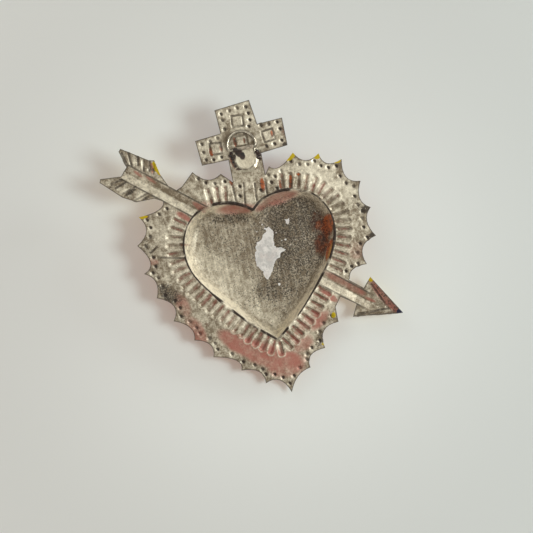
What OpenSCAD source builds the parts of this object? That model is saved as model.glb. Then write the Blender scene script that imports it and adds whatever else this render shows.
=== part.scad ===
// Hojalata tin ornament: a sacred heart with an arrow, a border of rays and a cross, all chased from
// one sheet of tin plate, and a wire ring in a soldered tin tongue on the back of the cross.
//
// Frame: +Z points to the top of the cross, +Y out of the domed front, -Y out of the bare back.
// The origin is the centre of the hanging ring's eye. Seen from the back, +X is to the right.
// Flat outlines are drawn as [x, z].

/* [Tin sheet] */
// Thickness of the tin plate
sheet_t = 0.4; // [0.3:0.05:0.6]
// Depth that rays, dots and chased lines are pressed towards the front
chase_d = 0.5; // [0.3:0.05:0.8]

/* [Heart] */
// Width of the domed heart
heart_w = 58.4; // [46:0.2:72]
// Height of the domed heart, from the top of the lobes to the tip
heart_h = 55.6; // [44:0.2:68]
// Depth of the dome from the sheet to its floor
heart_d = 6.9; // [5:0.1:9]
// Distance from the ring's centre down to the top of the lobes
heart_drop = 20.2; // [18:0.2:24]
// Distance of the heart's centre line to the right of the ring's centre
heart_x = -0.8; // [-2:0.1:2]

/* [Ray border] */
// Distance from the heart's edge to the start of a ray
ray_gap = 1.2; // [0.8:0.1:2]
// Length of a ray
ray_len = 5.8; // [4:0.1:7]
// Width of a ray's groove on the back
ray_w = 1.3; // [0.9:0.1:1.6]
// Distance between rays, along the middle of the row
ray_pitch = 3.1; // [2.9:0.1:4.5]
// Extra reach added to every scallop of the edge
border_extra = 0; // [-2:0.1:3]

/* [Punched dots] */
// Width of a dot where it meets the back of the sheet
dot_w = 1.3; // [0.8:0.1:1.6]
// Distance from the scalloped edge to the row of dots
dot_inset = 2.0; // [1.6:0.1:2.6]

/* [Cross] */
// Width of the cross over its arms
cross_w = 34.2; // [28:0.2:42]
// Height of the top of the cross above the ring's centre
cross_top = 16.0; // [14:0.1:20]
// Width of the upright and of its top
upright_w = 14.0; // [12.8:0.1:16]
// Height of the arms
arm_h = 10.4; // [9:0.1:11]
// Lift of the right arm over the left one, from cutting by hand
arm_lift = 1.6; // [0:0.1:2]
// Outer side of the chased squares
square_w = 4.8; // [4:0.1:6]

/* [Arrow] */
// Distance from the nock to the point
arrow_l = 120.3; // [116:0.1:130]
// Distance that the arrow passes over the heart's centre
arrow_rise = 6.2; // [4:0.1:8]
// Shift of the arrow's middle towards its point
arrow_shift = -3.3; // [-6:0.1:4]
// Slope of the arrow, down towards its point
arrow_slope = 38.8; // [36:0.1:42]
// Width of the shaft
shaft_w = 6.0; // [4.5:0.1:7]
// Height of the shaft's ridge over the front of the sheet
shaft_d = 1.6; // [1:0.1:2.2]
// Length of the arrowhead
head_l = 17.5; // [15:0.1:20]

/* [Hanger] */
// Diameter of the ring's wire
wire_d = 1.1; // [0.8:0.05:1.4]
// Outer diameter of the ring
ring_od = 12.0; // [11:0.1:14]
// Distance of the ring's straight run below its centre
bar_drop = 1.2; // [0.8:0.1:2]
// Running clearance round the wire in the rolled barrel
bar_gap = 0.07; // [0.04:0.01:0.1]
// Thickness of the tongue's tin
tab_t = 0.35; // [0.3:0.05:0.45]
// Width of the tongue
tab_w = 8.3; // [6.5:0.1:8.5]
// Gap between the tongue's rolled barrel and the ring's nearer bend
side_gap = 1.0; // [0.6:0.1:1.4]
// Distance from the ring's straight run to the tongue's round end
tab_l = 8.4; // [6.5:0.1:10]
// Thickness of the solder between tongue and sheet
solder_t = 0.25; // [0.15:0.05:0.4]
// Width of the solder fillet round the tongue
fillet_w = 1.1; // [0.8:0.1:1.4]

/* [Paper remnant] */
// Thickness of the scrap of paper
paper_t = 0.2; // [0.1:0.05:0.3]

/* [Hidden] */

tin = [0.66, 0.60, 0.50];
bright_tin = [0.74, 0.69, 0.58];
steel = [0.55, 0.52, 0.46];
solder = [0.62, 0.58, 0.50];
flux = [0.12, 0.09, 0.08];
paper = [0.88, 0.89, 0.91];

eps = 0.01;
// Length that a cut runs past the face it opens
clear = 1;

// Hanger stack, from the ring's plane at y = 0 to the sheet
wire_r = wire_d / 2;
ring_r = (ring_od - wire_d) / 2;
bore_r = wire_r + bar_gap;
barrel_r = bore_r + tab_t;
bar_half = sqrt(ring_r * ring_r - bar_drop * bar_drop);
tab_x = 0.3;
barrel_half = bar_half - side_gap - tab_x;
// Swelling of the wire where it is bent sharply into the straight run
bend_swell = 0.03;
back_y = barrel_r + solder_t;
front_y = back_y + sheet_t;
mid_y = (back_y + front_y) / 2;

// ---------- plane geometry ----------

function unit(v) = v / norm(v);
function at(a) = [sin(a), cos(a)];
function heading(v) = atan2(v[0], v[1]);

// Smooth curve through points, with n steps to a span
function spline_at(a, b, c, d, t) =
    (2 * b + (c - a) * t + (2 * a - 5 * b + 4 * c - d) * t * t
    + (3 * b - a - 3 * c + d) * t * t * t) / 2;
function spline(p, n) = let (m = len(p) - 1) concat(
    [for (i = [0 : m - 1]) for (k = [0 : n - 1])
        spline_at(p[max(i - 1, 0)], p[i], p[i + 1], p[min(i + 2, m)], k / n)],
    [p[m]]);
function reversed(p) = [for (i = [len(p) - 1 : -1 : 0]) p[i]];

// A snipped bite between two tips, through its deepest point
function bite(a, v, b, n) = let (c = 2 * v - (a + b) / 2)
    [for (k = [0 : n - 1]) let (t = k / n)
        a * (1 - t) * (1 - t) + c * 2 * t * (1 - t) + b * t * t];

// Distance from c to a closed outline that goes round it, towards a heading
function cross2(a, b) = a[0] * b[1] - a[1] * b[0];
function edge_hit(c, d, p, q) = let (e = q - p, den = cross2(d, e))
    abs(den) < 1e-9 ? 0
    : let (t = cross2(p - c, e) / den, u = cross2(p - c, d) / den)
        (u >= -1e-9 && u <= 1 + 1e-9) ? t : 0;
function radius_at(outline, c, a) = max([
    for (i = [0 : len(outline) - 1])
        edge_hit(c, at(a), outline[i], outline[(i + 1) % len(outline)])]);

// ---------- heart ----------

// Half outlines, as shares of half the heart's width and of its height
half_right = [
    [0, -0.09], [0.12, -0.037], [0.27, -0.009], [0.46, 0], [0.66, -0.023], [0.83, -0.075],
    [0.94, -0.155], [1, -0.25], [0.99, -0.35], [0.925, -0.455], [0.8, -0.567], [0.58, -0.705],
    [0.3, -0.86], [-0.035, -1]
];
half_left = [
    [0, -0.09], [0.14, -0.04], [0.3, -0.007], [0.5, 0.003], [0.7, -0.02], [0.86, -0.085],
    [0.96, -0.175], [1, -0.27], [0.985, -0.375], [0.905, -0.48], [0.74, -0.607], [0.54, -0.738],
    [0.28, -0.887], [0.035, -1]
];
spans = 3;

function placed(half, side) =
    [for (p = half) [heart_x + side * p[0] * heart_w / 2, p[1] * heart_h - heart_drop]];
right_edge = spline(placed(half_right, 1), spans);
left_edge = spline(placed(half_left, -1), spans);
last = len(left_edge) - 1;
heart = concat(right_edge, [for (i = [last - 1 : -1 : 1]) left_edge[i]]);
heart_c = [heart_x, -heart_drop - 0.446 * heart_h];
heart_tip = right_edge[len(right_edge) - 1];

// Dome rings as [share of the outline, share of the depth]
dome_profile = [[0.985, 0.1], [0.94, 0.45], [0.89, 0.72], [0.83, 0.88], [0.75, 0.965], [0.66, 1]];

// Closed solid under the dome's profile. It starts at y0, where the outline has share s0.
module dome(y0, s0, y_base, depth) {
    rings = concat(
        [[s0, y0]],
        [for (r = dome_profile) [r[0] * s0, y_base + r[1] * depth]]);
    n = len(heart);
    m = len(rings);
    points = concat(
        [for (r = rings) for (p = heart) let (q = heart_c + (p - heart_c) * r[0]) [q[0], r[1], q[1]]],
        [[heart_c[0], rings[0][1], heart_c[1]]],
        [[heart_c[0], rings[m - 1][1], heart_c[1]]]);
    faces = concat(
        [for (i = [0 : n - 1]) [n * m, i, (i + 1) % n]],
        [for (k = [0 : m - 2]) for (i = [0 : n - 1]) [n * k + i, n * (k + 1) + i, n * k + (i + 1) % n]],
        [for (k = [0 : m - 2]) for (i = [0 : n - 1])
            [n * k + (i + 1) % n, n * (k + 1) + i, n * (k + 1) + (i + 1) % n]],
        [for (i = [0 : n - 1]) [n * m + 1, n * (m - 1) + (i + 1) % n, n * (m - 1) + i]]);
    polyhedron(points, faces, convexity = 4);
}

// ---------- border ----------

// Scallops as [heading, reach of the tip, heading, reach of the bite that follows]. A heading is seen
// from the heart's centre, clockwise from the top, and a reach is measured from the heart's edge.
scallops_right = [
    [15, 11.5, 21.5, 10.1], [27, 15.1, 34.5, 12.2], [39, 15.9, 45, 13.3], [49.5, 17.3, 56.5, 13.2],
    [62.5, 16.4, 69, 12.8], [75.5, 15.7, 81, 13.4], [89.5, 16.8, 94.5, 12.1], [104, 15, 107.5, 10.5]
];
scallops_left = [
    [141.5, 14.6, 151.5, 12.1], [157, 16.8, 165.5, 14.9], [168.5, 18.4, 175.5, 18.1],
    [180, 21.8, 184.5, 16.7], [191, 19.6, 194.5, 16.1], [203.5, 18.4, 207.5, 15.8],
    [219.5, 19.1, 224.5, 15.9], [233, 18.2, 239.5, 15.7], [248, 18.4, 255, 14.5],
    [262.5, 17.9, 270.5, 14.9], [275.5, 17.8, 281, 14.1], [288.5, 18.2, 296, 15], [301, 18.9, 308, 12.6]
];
scallops_top = [[333, 15.7, 337, 11], [345.5, 12.9, 350, 9.8]];
join_right = [114, 10.5];
join_low = [135, 10.6];
join_left = [313, 13.6];
join_top = [324, 12.1];
join_stem = [12.5, 8.3];

function rim(a, reach) = heart_c + at(a) * (radius_at(heart, heart_c, a) + reach + border_extra);
function tip(s) = rim(s[0], s[1]);
function valley(s) = rim(s[2], s[3]);
function row(list, end) = [for (i = [0 : len(list) - 1]) each
    bite(tip(list[i]), valley(list[i]), i + 1 < len(list) ? tip(list[i + 1]) : end, bite_steps)];
bite_steps = 6;

function join(j) = rim(j[0], j[1]);
border = concat(
    [join(join_stem)], row(scallops_right, join(join_right)),
    [join(join_right), join(join_low)], row(scallops_left, join(join_left)),
    [join(join_left), join(join_top)], row(scallops_top, rim(353, 8)), [rim(353, 8)]);

// ---------- cross and stem ----------

stem_w = 12.8;
stem_end = -heart_drop - 0.09 * heart_h;
up = upright_w / 2;
arm = cross_w / 2;
half_lift = arm_lift / 2;
arm_mid = 0.9;
arm_top = arm_mid + arm_h / 2;
arm_low = arm_mid - arm_h / 2;
cross_outline = [
    [-up - 0.4, cross_top - 0.6], [up - 0.6, cross_top + 0.6], [up + 0.6, arm_top + half_lift],
    [arm + 0.3, arm_top + half_lift + 0.4], [arm + 0.2, arm_low + half_lift],
    [stem_w / 2 + 0.4, arm_low - 0.1], [stem_w / 2, stem_end], [-stem_w / 2, stem_end],
    [-stem_w / 2 + 0.3, arm_low - 0.1], [-arm + 0.6, arm_low - 0.1],
    [-arm, arm_top - half_lift + 0.1], [-up, arm_top - half_lift + 0.9]
];
square_places = [[0.4, cross_top - 6.4], [arm - 6.2, 1.7], [-arm + 7.1, 0.9], [0.2, 1.8]];
stem_lines = [
    [[-2.5, -14], [-3.2, stem_end + 2.2]], [[1.7, -15.2], [1.8, stem_end + 2.2]],
    [[-stem_w / 2 - 0.1, -13.2], [-stem_w / 2 + 0.1, -21]], [[stem_w / 2 - 0.3, -13.8], [5.4, -21]]
];
line_w = 0.7;

// ---------- arrow ----------

// The arrow's own frame has its origin at the nock, with +X along the shaft to the point.
arrow_dir = at(90 + arrow_slope);
nock = heart_c + arrow_dir * (arrow_shift - arrow_l / 2) + at(arrow_slope) * arrow_rise;
// The shaft is chased a little out of line with the cut arrow, and stops short of the heart
shaft_turn = 1.1;
shaft_dir = at(90 + arrow_slope + shaft_turn);
heart_hits = [
    for (i = [0 : len(heart) - 1])
        let (t = edge_hit(nock, shaft_dir, heart[i], heart[(i + 1) % len(heart)]))
        if (t > 0) t];
shaft_stop = 2.6;
shaft_start = 0.6;
shaft_in = min(heart_hits) - shaft_stop;
shaft_out = max(heart_hits) + shaft_stop;
shaft_end = arrow_l - head_l + 7.6;
neck = 4;
shaft_lip = 0.2;
fletching_l = 16;
fletching = [
    [17.9, 2.7], [12.8, 5.4], [8.4, 9.1], [6.7, 8.2], [-5.2, 7.2], [-5.3, 5.9], [0.1, 2.1],
    [-0.2, -2.2], [-6.8, -6.7], [-6.4, -8.1], [4, -9.2], [9.8, -8.2], [15.1, -4], [18, -3.5]
];
head = [
    [arrow_l, 0], [arrow_l - head_l, 6.6], [arrow_l - head_l - 0.2, 1.7],
    [arrow_l - head_l - 8, 1.9], [arrow_l - head_l - 8, -5.4], [arrow_l - head_l + 0.1, -5],
    [arrow_l - head_l + 1, -9.9]
];
barb_w = 0.8;
barb_turn = 60;
barbs_up = [for (i = [0 : 4]) [-2.4 + 2.9 * i, 3.2]];
barbs_low = [for (i = [0 : 3]) [-0.6 + 4.4 * i, -3.4]];
barb_up_len = 3.6;
barb_low_len = 4.2;

module arrow_frame() translate([nock[0], 0, nock[1]]) rotate([0, arrow_slope, 0]) children();
module shaft_frame() arrow_frame() rotate([0, shaft_turn, 0]) children();

// ---------- rays and dots ----------

// Points along the heart's edge with the heading of the outward normal. The tip gets a fan of them.
function corner_fan(p, a, b, n) = [for (k = [0 : n]) [p[0], p[1], a + (b - a) * k / n]];
function side_walk(side, least) = [for (i = [0 : len(side) - 2])
    let (
        p = (side[i] + side[i + 1]) / 2,
        a = heading(side[i + 1] - side[i]) - 90)
    [p[0], p[1], a < least ? a + 360 : a]];
right_walk = side_walk(right_edge, -90);
left_walk = side_walk(reversed(left_edge), 180);
walk = concat(
    right_walk,
    corner_fan(heart_tip, right_walk[len(right_walk) - 1][2], left_walk[0][2], 8),
    left_walk);
mid_reach = ray_gap + ray_len / 2;
function mid_point(w) = [w[0], w[1]] + at(w[2]) * mid_reach;
walk_s = [for (i = 0, s = 0; i < len(walk);
    s = s + (i + 1 < len(walk) ? norm(mid_point(walk[i + 1]) - mid_point(walk[i])) : 0), i = i + 1) s];
function along(t, k) = lookup(t, [for (i = [0 : len(walk) - 1]) [walk_s[i], walk[i][k]]]);

// Distance of a place to the side of the shaft's middle, in the arrow's frame
function shaft_side(p) = (p - nock) * at(arrow_slope + shaft_turn);
function clear_of_shaft(p, room) = abs(shaft_side(p)) > shaft_w / 2 + room;
function clear_of_stem(p, room) = p[1] < stem_end - 4 || abs(p[0]) > stem_w / 2 + room;

ray_room = 1.2;
ray_count = floor(walk_s[len(walk) - 1] / ray_pitch);
rays = [for (i = [0 : ray_count]) let (
    t = (i + 0.4) * ray_pitch,
    a = along(t, 2),
    m = [along(t, 0), along(t, 1)] + at(a) * mid_reach,
    far = m + at(a) * ray_len / 2,
    near = m - at(a) * ray_len / 2)
    if (clear_of_shaft(near, ray_room) && clear_of_shaft(far, ray_room) && clear_of_stem(near, ray_room)
        && clear_of_stem(far, ray_room)) [m[0], m[1], a]];

dot_room = 1;
// Dots follow each bite at a set inset, with one more behind each tip
function inset(p, d) = p + unit(heart_c - p) * d;
function bite_dots(list, end) = [for (i = [0 : len(list) - 1]) let (
    b = bite(tip(list[i]), valley(list[i]), i + 1 < len(list) ? tip(list[i + 1]) : end, 6))
    each [inset(b[0], dot_inset * 1.7), inset(b[2], dot_inset), inset(b[4], dot_inset)]];
border_dots = [for (p = concat(
    bite_dots(scallops_right, join(join_right)), bite_dots(scallops_left, join(join_left)),
    bite_dots(scallops_top, rim(353, 8))))
    if (clear_of_shaft(p, dot_room) && clear_of_stem(p, dot_room)) p];
cross_dots = [
    [-5.2, cross_top - 2.6], [-1.9, cross_top - 2], [1.3, cross_top - 1.6], [4.6, cross_top - 1.8],
    [5, cross_top - 4.4], [5.1, cross_top - 7], [-5.2, cross_top - 5], [-5.2, cross_top - 8.6],
    [arm - 1.9, 6], [arm - 5.2, 5.9], [arm - 8.2, 6], [arm - 1.4, 3.2], [arm - 1.6, -1.2],
    [arm - 4.6, -2], [arm - 7.8, -2.2], [-arm + 2.2, 3.6], [-arm + 5.6, 4], [-arm + 8.6, 4.6],
    [-arm + 2.2, 0.4], [-arm + 2.6, -2.6], [-arm + 5.4, -3.2], [-arm + 8.6, -2.8], [4.2, 6.6],
    [-2.8, -17.4], [-3.4, -20.8], [4.6, -19.4]
];
dots = concat(border_dots, cross_dots);

// ---------- builders ----------

// Extrudes an [x, z] drawing from y = a to y = b
module slab(a, b) translate([0, b, 0]) rotate([90, 0, 0]) linear_extrude(b - a) children();

module capsule(l, w) {
    square([l - w, w], center = true);
    for (side = [-1, 1]) translate([side * (l - w) / 2, 0]) circle(d = w, $fn = 24);
}
module stroke(a, b, w) translate((a + b) / 2) rotate(90 - heading(b - a)) capsule(norm(b - a) + w, w);
module ray_marks(grow) for (r = rays) translate([r[0], r[1]]) rotate(90 - r[2])
    capsule(ray_len + grow, ray_w + grow);
module line_marks(grow) for (l = stem_lines) stroke(l[0], l[1], line_w + grow);
module square_marks(grow) for (p = square_places) translate(p) difference() {
    square(square_w + grow, center = true);
    square(square_w - 2 * line_w - grow, center = true);
}
module barb_marks(grow) {
    for (p = barbs_up) translate(p) rotate(180 - barb_turn)
        translate([barb_up_len / 2, 0]) capsule(barb_up_len + grow, barb_w + grow);
    for (p = barbs_low) translate(p) rotate(180 + barb_turn)
        translate([barb_low_len / 2, 0]) capsule(barb_low_len + grow, barb_w + grow);
}

// ---------- the sheet ----------

module sheet_outline() {
    polygon(border);
    polygon(cross_outline);
}
module shaft_ridge(low, top, w, from, to) shaft_frame() translate([from, 0, 0]) rotate([90, 0, 90])
    linear_extrude(to - from) polygon([[low, -w / 2], [low, w / 2], [top, 0]]);

// How much wider a mark is on the front than the groove on the back
ray_grow = 1.0;
line_grow = 0.5;
square_grow = 0.3;
barb_grow = 0.4;
dot_grow = 0.5;
// Width of a pit at its bottom, and of the bump over it
pit_end = 0.2;
bump_end = 0.5;

// Ribs, bumps and ridges that stand out of the front
module pressed_out() {
    top = front_y + chase_d;
    slab(mid_y, top) ray_marks(ray_grow);
    slab(mid_y, top) line_marks(line_grow);
    slab(mid_y, top) square_marks(square_grow);
    arrow_frame() slab(mid_y, top) barb_marks(barb_grow);
    for (p = dots) translate([p[0], mid_y, p[1]]) rotate([-90, 0, 0])
        cylinder(h = top - mid_y, d1 = dot_w + dot_grow, d2 = bump_end, $fn = 24);
}
// Grooves and pits in the back under them
module pressed_in() {
    deep = back_y + chase_d;
    low = back_y - clear;
    slab(low, deep) ray_marks(0);
    slab(low, deep) line_marks(0);
    slab(low, deep) square_marks(0);
    arrow_frame() slab(low, deep) barb_marks(0);
    for (p = dots) translate([p[0], back_y - eps, p[1]]) rotate([-90, 0, 0])
        cylinder(h = chase_d + eps, d1 = dot_w, d2 = pit_end, $fn = 24);
}

module shaft_parts(low, top, w) {
    shaft_ridge(low, top, w, shaft_start, shaft_in);
    shaft_ridge(low, top, w, shaft_out, shaft_end);
}
// Flat tin that carries the shaft from the border out to the fletching and to the head
module shaft_strip(from, to) shaft_frame() slab(back_y, front_y)
    translate([from, -shaft_w / 2]) square([to - from, shaft_w]);

module tin_sheet() color(tin) difference() {
    union() {
        slab(back_y, front_y) sheet_outline();
        arrow_frame() slab(back_y, front_y) polygon(fletching);
        arrow_frame() slab(back_y, front_y) polygon(head);
        shaft_strip(fletching_l, shaft_in);
        shaft_strip(shaft_out, shaft_end - neck);
        dome(mid_y, 1, front_y, heart_d);
        shaft_parts(mid_y, front_y + shaft_d, shaft_w);
        pressed_out();
    }
    dome(back_y - clear, 0.99, back_y, heart_d);
    shaft_parts(back_y - shaft_lip, back_y + shaft_d, shaft_w - 2 * shaft_lip);
    pressed_in();
}

// ---------- the hanger ----------

module bar_line(r, half, x) translate([x - half, 0, -bar_drop]) rotate([0, 90, 0])
    cylinder(r = r, h = 2 * half, $fn = 48);

// Tongue outline: straight sides from the bar to a round end
module tongue(grow) {
    half = tab_w / 2 + grow;
    translate([tab_x - half, -bar_drop - tab_l + tab_w / 2]) square([2 * half, tab_l - tab_w / 2]);
    translate([tab_x, -bar_drop - tab_l + tab_w / 2]) circle(r = half, $fn = 64);
}

module hanger_tab() color(bright_tin) difference() {
    union() {
        slab(bore_r, barrel_r) tongue(0);
        bar_line(barrel_r, barrel_half, tab_x);
    }
    bar_line(bore_r, barrel_half + clear, tab_x);
}

// Loop of wire from one end of the straight run, over the top, to the other end
module hanger_ring() color(steel) {
    start = atan2(-bar_drop, bar_half);
    rotate([90, 0, 0]) rotate([0, 0, start])
        rotate_extrude(angle = 180 - 2 * start, $fn = 96) translate([ring_r, 0]) circle(r = wire_r, $fn = 32);
    bar_line(wire_r, bar_half, 0);
    for (side = [-1, 1]) translate([side * bar_half, 0, -bar_drop]) sphere(r = wire_r + bend_swell, $fn = 32);
}

module tab_solder() color(solder) difference() {
    union() {
        slab(barrel_r, back_y) tongue(fillet_w);
        slab(bore_r + 0.1, back_y) tongue(fillet_w / 2);
    }
    slab(bore_r - clear, barrel_r) tongue(0);
    bar_line(barrel_r, tab_w / 2 + fillet_w + clear, tab_x);
}

// Lump of solder beside the tongue, flat against the sheet. Each ball of it is [x, z, radius] from the
// place where the bar's axis passes the edge of the solder.
left_lumps = [[-0.1, -1.9, 0.8], [0, -3, 0.9]];
right_lumps = [[0.1, -2, 0.9], [0.2, -3.2, 1], [0.1, -4.5, 0.8]];
lump_lift = 0.1;
module bead(side, lumps) color(flux) difference() {
    translate([tab_x + side * (tab_w / 2 + fillet_w), back_y - lump_lift, -bar_drop])
        for (l = lumps) translate([l[0], 0, l[1]]) sphere(r = l[2], $fn = 32);
    slab(back_y, back_y + 2) translate([tab_x, -bar_drop]) square(3 * tab_w, center = true);
    slab(back_y - 2, back_y + eps) tongue(fillet_w);
}
module solder_bead_left() bead(-1, left_lumps);
module solder_bead_right() bead(1, right_lumps);

// ---------- paper ----------

floor_y = back_y + heart_d;
torn_edge = [
    [4.7, 12.6], [6.1, 10.9], [5.5, 7], [5, 3.5], [7.1, 3.9], [9, 2.4], [6, -0.3], [4.1, -1.7], [1.8, -6.2],
    [0.1, -7.7], [-1.1, -6], [-1.3, -2.8], [-3.4, -1.1], [-2.4, 5], [-1.1, 7.5], [1.1, 8.4], [2.7, 10.7]
];
flecks = [[12.3, 13.3, 1.2], [4.2, -10.1, 0.6], [10, 6, 0.5]];

module paper_remnant() color(paper) slab(floor_y - paper_t, floor_y) translate(heart_c) polygon(torn_edge);
module paper_flecks() color(paper) for (f = flecks)
    slab(floor_y - paper_t, floor_y) translate(heart_c + [f[0], f[1]]) circle(r = f[2], $fn = 7);

tin_sheet();
hanger_tab();
hanger_ring();
tab_solder();
solder_bead_left();
solder_bead_right();
paper_remnant();
paper_flecks();
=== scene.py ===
import math

import bpy
import numpy as np
from mathutils import Matrix, Vector, noise
from mathutils.geometry import delaunay_2d_cdt


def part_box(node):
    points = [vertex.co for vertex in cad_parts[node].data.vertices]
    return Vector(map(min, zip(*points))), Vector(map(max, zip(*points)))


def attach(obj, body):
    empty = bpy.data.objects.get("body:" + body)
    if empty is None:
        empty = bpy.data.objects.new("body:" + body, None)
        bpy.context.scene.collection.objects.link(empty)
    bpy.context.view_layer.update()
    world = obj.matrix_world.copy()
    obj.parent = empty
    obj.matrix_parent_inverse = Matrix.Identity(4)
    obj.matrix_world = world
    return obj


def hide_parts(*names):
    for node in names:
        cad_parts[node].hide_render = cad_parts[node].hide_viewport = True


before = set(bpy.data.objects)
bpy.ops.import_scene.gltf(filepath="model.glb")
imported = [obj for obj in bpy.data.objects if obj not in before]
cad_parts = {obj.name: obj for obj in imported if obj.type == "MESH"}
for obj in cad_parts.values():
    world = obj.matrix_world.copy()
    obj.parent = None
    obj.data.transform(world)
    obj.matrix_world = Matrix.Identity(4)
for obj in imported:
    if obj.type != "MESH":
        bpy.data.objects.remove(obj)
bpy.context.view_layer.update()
scene = bpy.context.scene
mm = 0.001

# Flat outlines are [x, z] in millimetres, in the frame: +Z to the cross's top and +Y out of the domed front.
# The bare back, which the photograph shows, looks towards -Y.

# In the reference view the object is turned clockwise. Places on it are given in pixels, right and down.
# "eye" is the middle of the ring's eye, and "centre" is the middle of the view in millimetres.
view = {"pixelsPerMm": 2.6, "roll": 12, "eye": [241.6, 145.6], "centre": [-.3, -47.5], "distance": .7,
        "frame": 533}
roll = math.radians(view["roll"])


def seen(x, y):
    # from the reference view to [x, z]
    right = (x - view["eye"][0]) / view["pixelsPerMm"]
    down = (y - view["eye"][1]) / view["pixelsPerMm"]
    return np.array([right * math.cos(roll) - down * math.sin(roll),
                     -right * math.sin(roll) - down * math.cos(roll)])


def makeObject(name, verts, edges=(), faces=()):
    mesh = bpy.data.meshes.new(name)
    mesh.from_pydata([tuple(v) for v in verts], [tuple(e) for e in edges], [tuple(f) for f in faces])
    mesh.update()
    obj = bpy.data.objects.new(name, mesh)
    scene.collection.objects.link(obj)
    return obj


def bake(obj, smoothAngle=None):
    # turns the object's modifiers into a plain mesh
    graph = bpy.context.evaluated_depsgraph_get()
    mesh = bpy.data.meshes.new_from_object(obj.evaluated_get(graph), depsgraph=graph)
    obj.modifiers.clear()
    obj.data = mesh
    if smoothAngle is not None:
        mesh.shade_smooth()
        mesh.set_sharp_from_angle(angle=math.radians(smoothAngle))
    return obj


def newGroup(name, kind, inputs, outputs):
    tree = bpy.data.node_groups.new(name, kind)
    for label, socket, default in inputs:
        made = tree.interface.new_socket(name=label, in_out="INPUT", socket_type=socket)
        if default is not None:
            made.default_value = default
    for label, socket in outputs:
        tree.interface.new_socket(name=label, in_out="OUTPUT", socket_type=socket)
    source = tree.nodes.new("NodeGroupInput")
    result = tree.nodes.new("NodeGroupOutput")
    return tree, source.outputs, result.inputs


def add(tree, kind, inputs=None, **settings):
    # one node: settings are its properties, and inputs are values or sockets to link, by name or place
    made = tree.nodes.new(kind)
    for key, value in settings.items():
        setattr(made, key, value)
    for key, value in (inputs or {}).items():
        target = made.inputs[key]
        if isinstance(value, bpy.types.NodeSocket):
            tree.links.new(value, target)
        elif value is not None:
            target.default_value = value
    return made


def maths(tree, operation, a, b=None, clamp=False):
    values = {0: a} if b is None else {0: a, 1: b}
    return add(tree, "ShaderNodeMath", values, operation=operation, use_clamp=clamp).outputs[0]


def times(tree, a, b):
    return maths(tree, "MULTIPLY", a, b)


def plus(tree, a, b, clamp=False):
    return maths(tree, "ADD", a, b, clamp)


def minus(tree, a, b, clamp=False):
    return maths(tree, "SUBTRACT", a, b, clamp)


def most(tree, a, b):
    return maths(tree, "MAXIMUM", a, b)


def least(tree, a, b):
    return maths(tree, "MINIMUM", a, b)


def scaled(tree, vector, by):
    return add(tree, "ShaderNodeVectorMath", {0: vector, "Scale": by}, operation="SCALE").outputs[0]


def noiseAt(tree, place, scale, detail=2, rough=.5, stretch=None, turn=0):
    if stretch:
        place = add(tree, "ShaderNodeMapping", {"Vector": place, "Scale": stretch,
                    "Rotation": (0, turn, 0)}).outputs[0]
    return add(tree, "ShaderNodeTexNoise", {"Vector": place, "Scale": scale, "Detail": detail,
               "Roughness": rough}, noise_dimensions="3D").outputs[0]


def runTree(obj, tree, values):
    # a modifier's inputs go by their identifiers
    names = {s.name: s.identifier for s in tree.interface.items_tree if s.in_out == "INPUT"}
    made = obj.modifiers.new(tree.name, "NODES")
    made.node_group = tree
    for name, value in values.items():
        made[names[name]] = value


def store(obj, name, values, domain="POINT"):
    made = obj.data.attributes.new(name, "FLOAT", domain)
    made.data.foreach_set("value", np.asarray(values).astype(np.float32))


def flatPlaces(items, key):
    # [x, z] of each vertex or face, in millimetres
    places = np.empty(len(items) * 3)
    items.foreach_get(key, places)
    return places.reshape(-1, 3)[:, [0, 2]] / mm


heart = {
    "width": 58.4, "height": 55.6, "drop": 20.2, "x": -0.8, "middle": .446, "steps": 9,
    "right": [[0, -.09], [.12, -.037], [.27, -.009], [.46, 0], [.66, -.023], [.83, -.075], [.94, -.155],
              [1, -.25], [.99, -.35], [.925, -.455], [.8, -.567], [.58, -.705], [.3, -.86], [-.035, -1]],
    "left": [[0, -.09], [.14, -.04], [.3, -.007], [.5, .003], [.7, -.02], [.86, -.085], [.96, -.175],
             [1, -.27], [.985, -.375], [.905, -.48], [.74, -.607], [.54, -.738], [.28, -.887], [.035, -1]],
}
# scallops are [heading of the tip, its reach past the heart, heading of the bite, its reach]
border = {
    "steps": 8,
    "right": [[15, 11.5, 21.5, 10.1], [27, 15.1, 34.5, 12.2], [39, 15.9, 45, 13.3], [49.5, 17.3, 56.5, 13.2],
              [62.5, 16.4, 69, 12.8], [75.5, 15.7, 81, 13.4], [89.5, 16.8, 94.5, 12.1],
              [104, 15, 107.5, 10.5]],
    "left": [[141.5, 14.6, 151.5, 12.1], [157, 16.8, 165.5, 14.9], [168.5, 18.4, 175.5, 18.1],
             [180, 21.8, 184.5, 16.7], [191, 19.6, 194.5, 16.1], [203.5, 18.4, 207.5, 15.8],
             [219.5, 19.1, 224.5, 15.9], [233, 18.2, 239.5, 15.7], [248, 18.4, 255, 14.5],
             [262.5, 17.9, 270.5, 14.9], [275.5, 17.8, 281, 14.1], [288.5, 18.2, 296, 15],
             [301, 18.9, 308, 12.6]],
    "top": [[333, 15.7, 337, 11], [345.5, 12.9, 350, 9.8]],
    "stemRight": [12.5, 8.3], "shaftHigh": [114, 10.5], "shaftLow": [135, 10.6],
    "fletchLow": [313, 13.6], "fletchHigh": [324, 12.1], "stemLeft": [353, 8],
}
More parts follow.
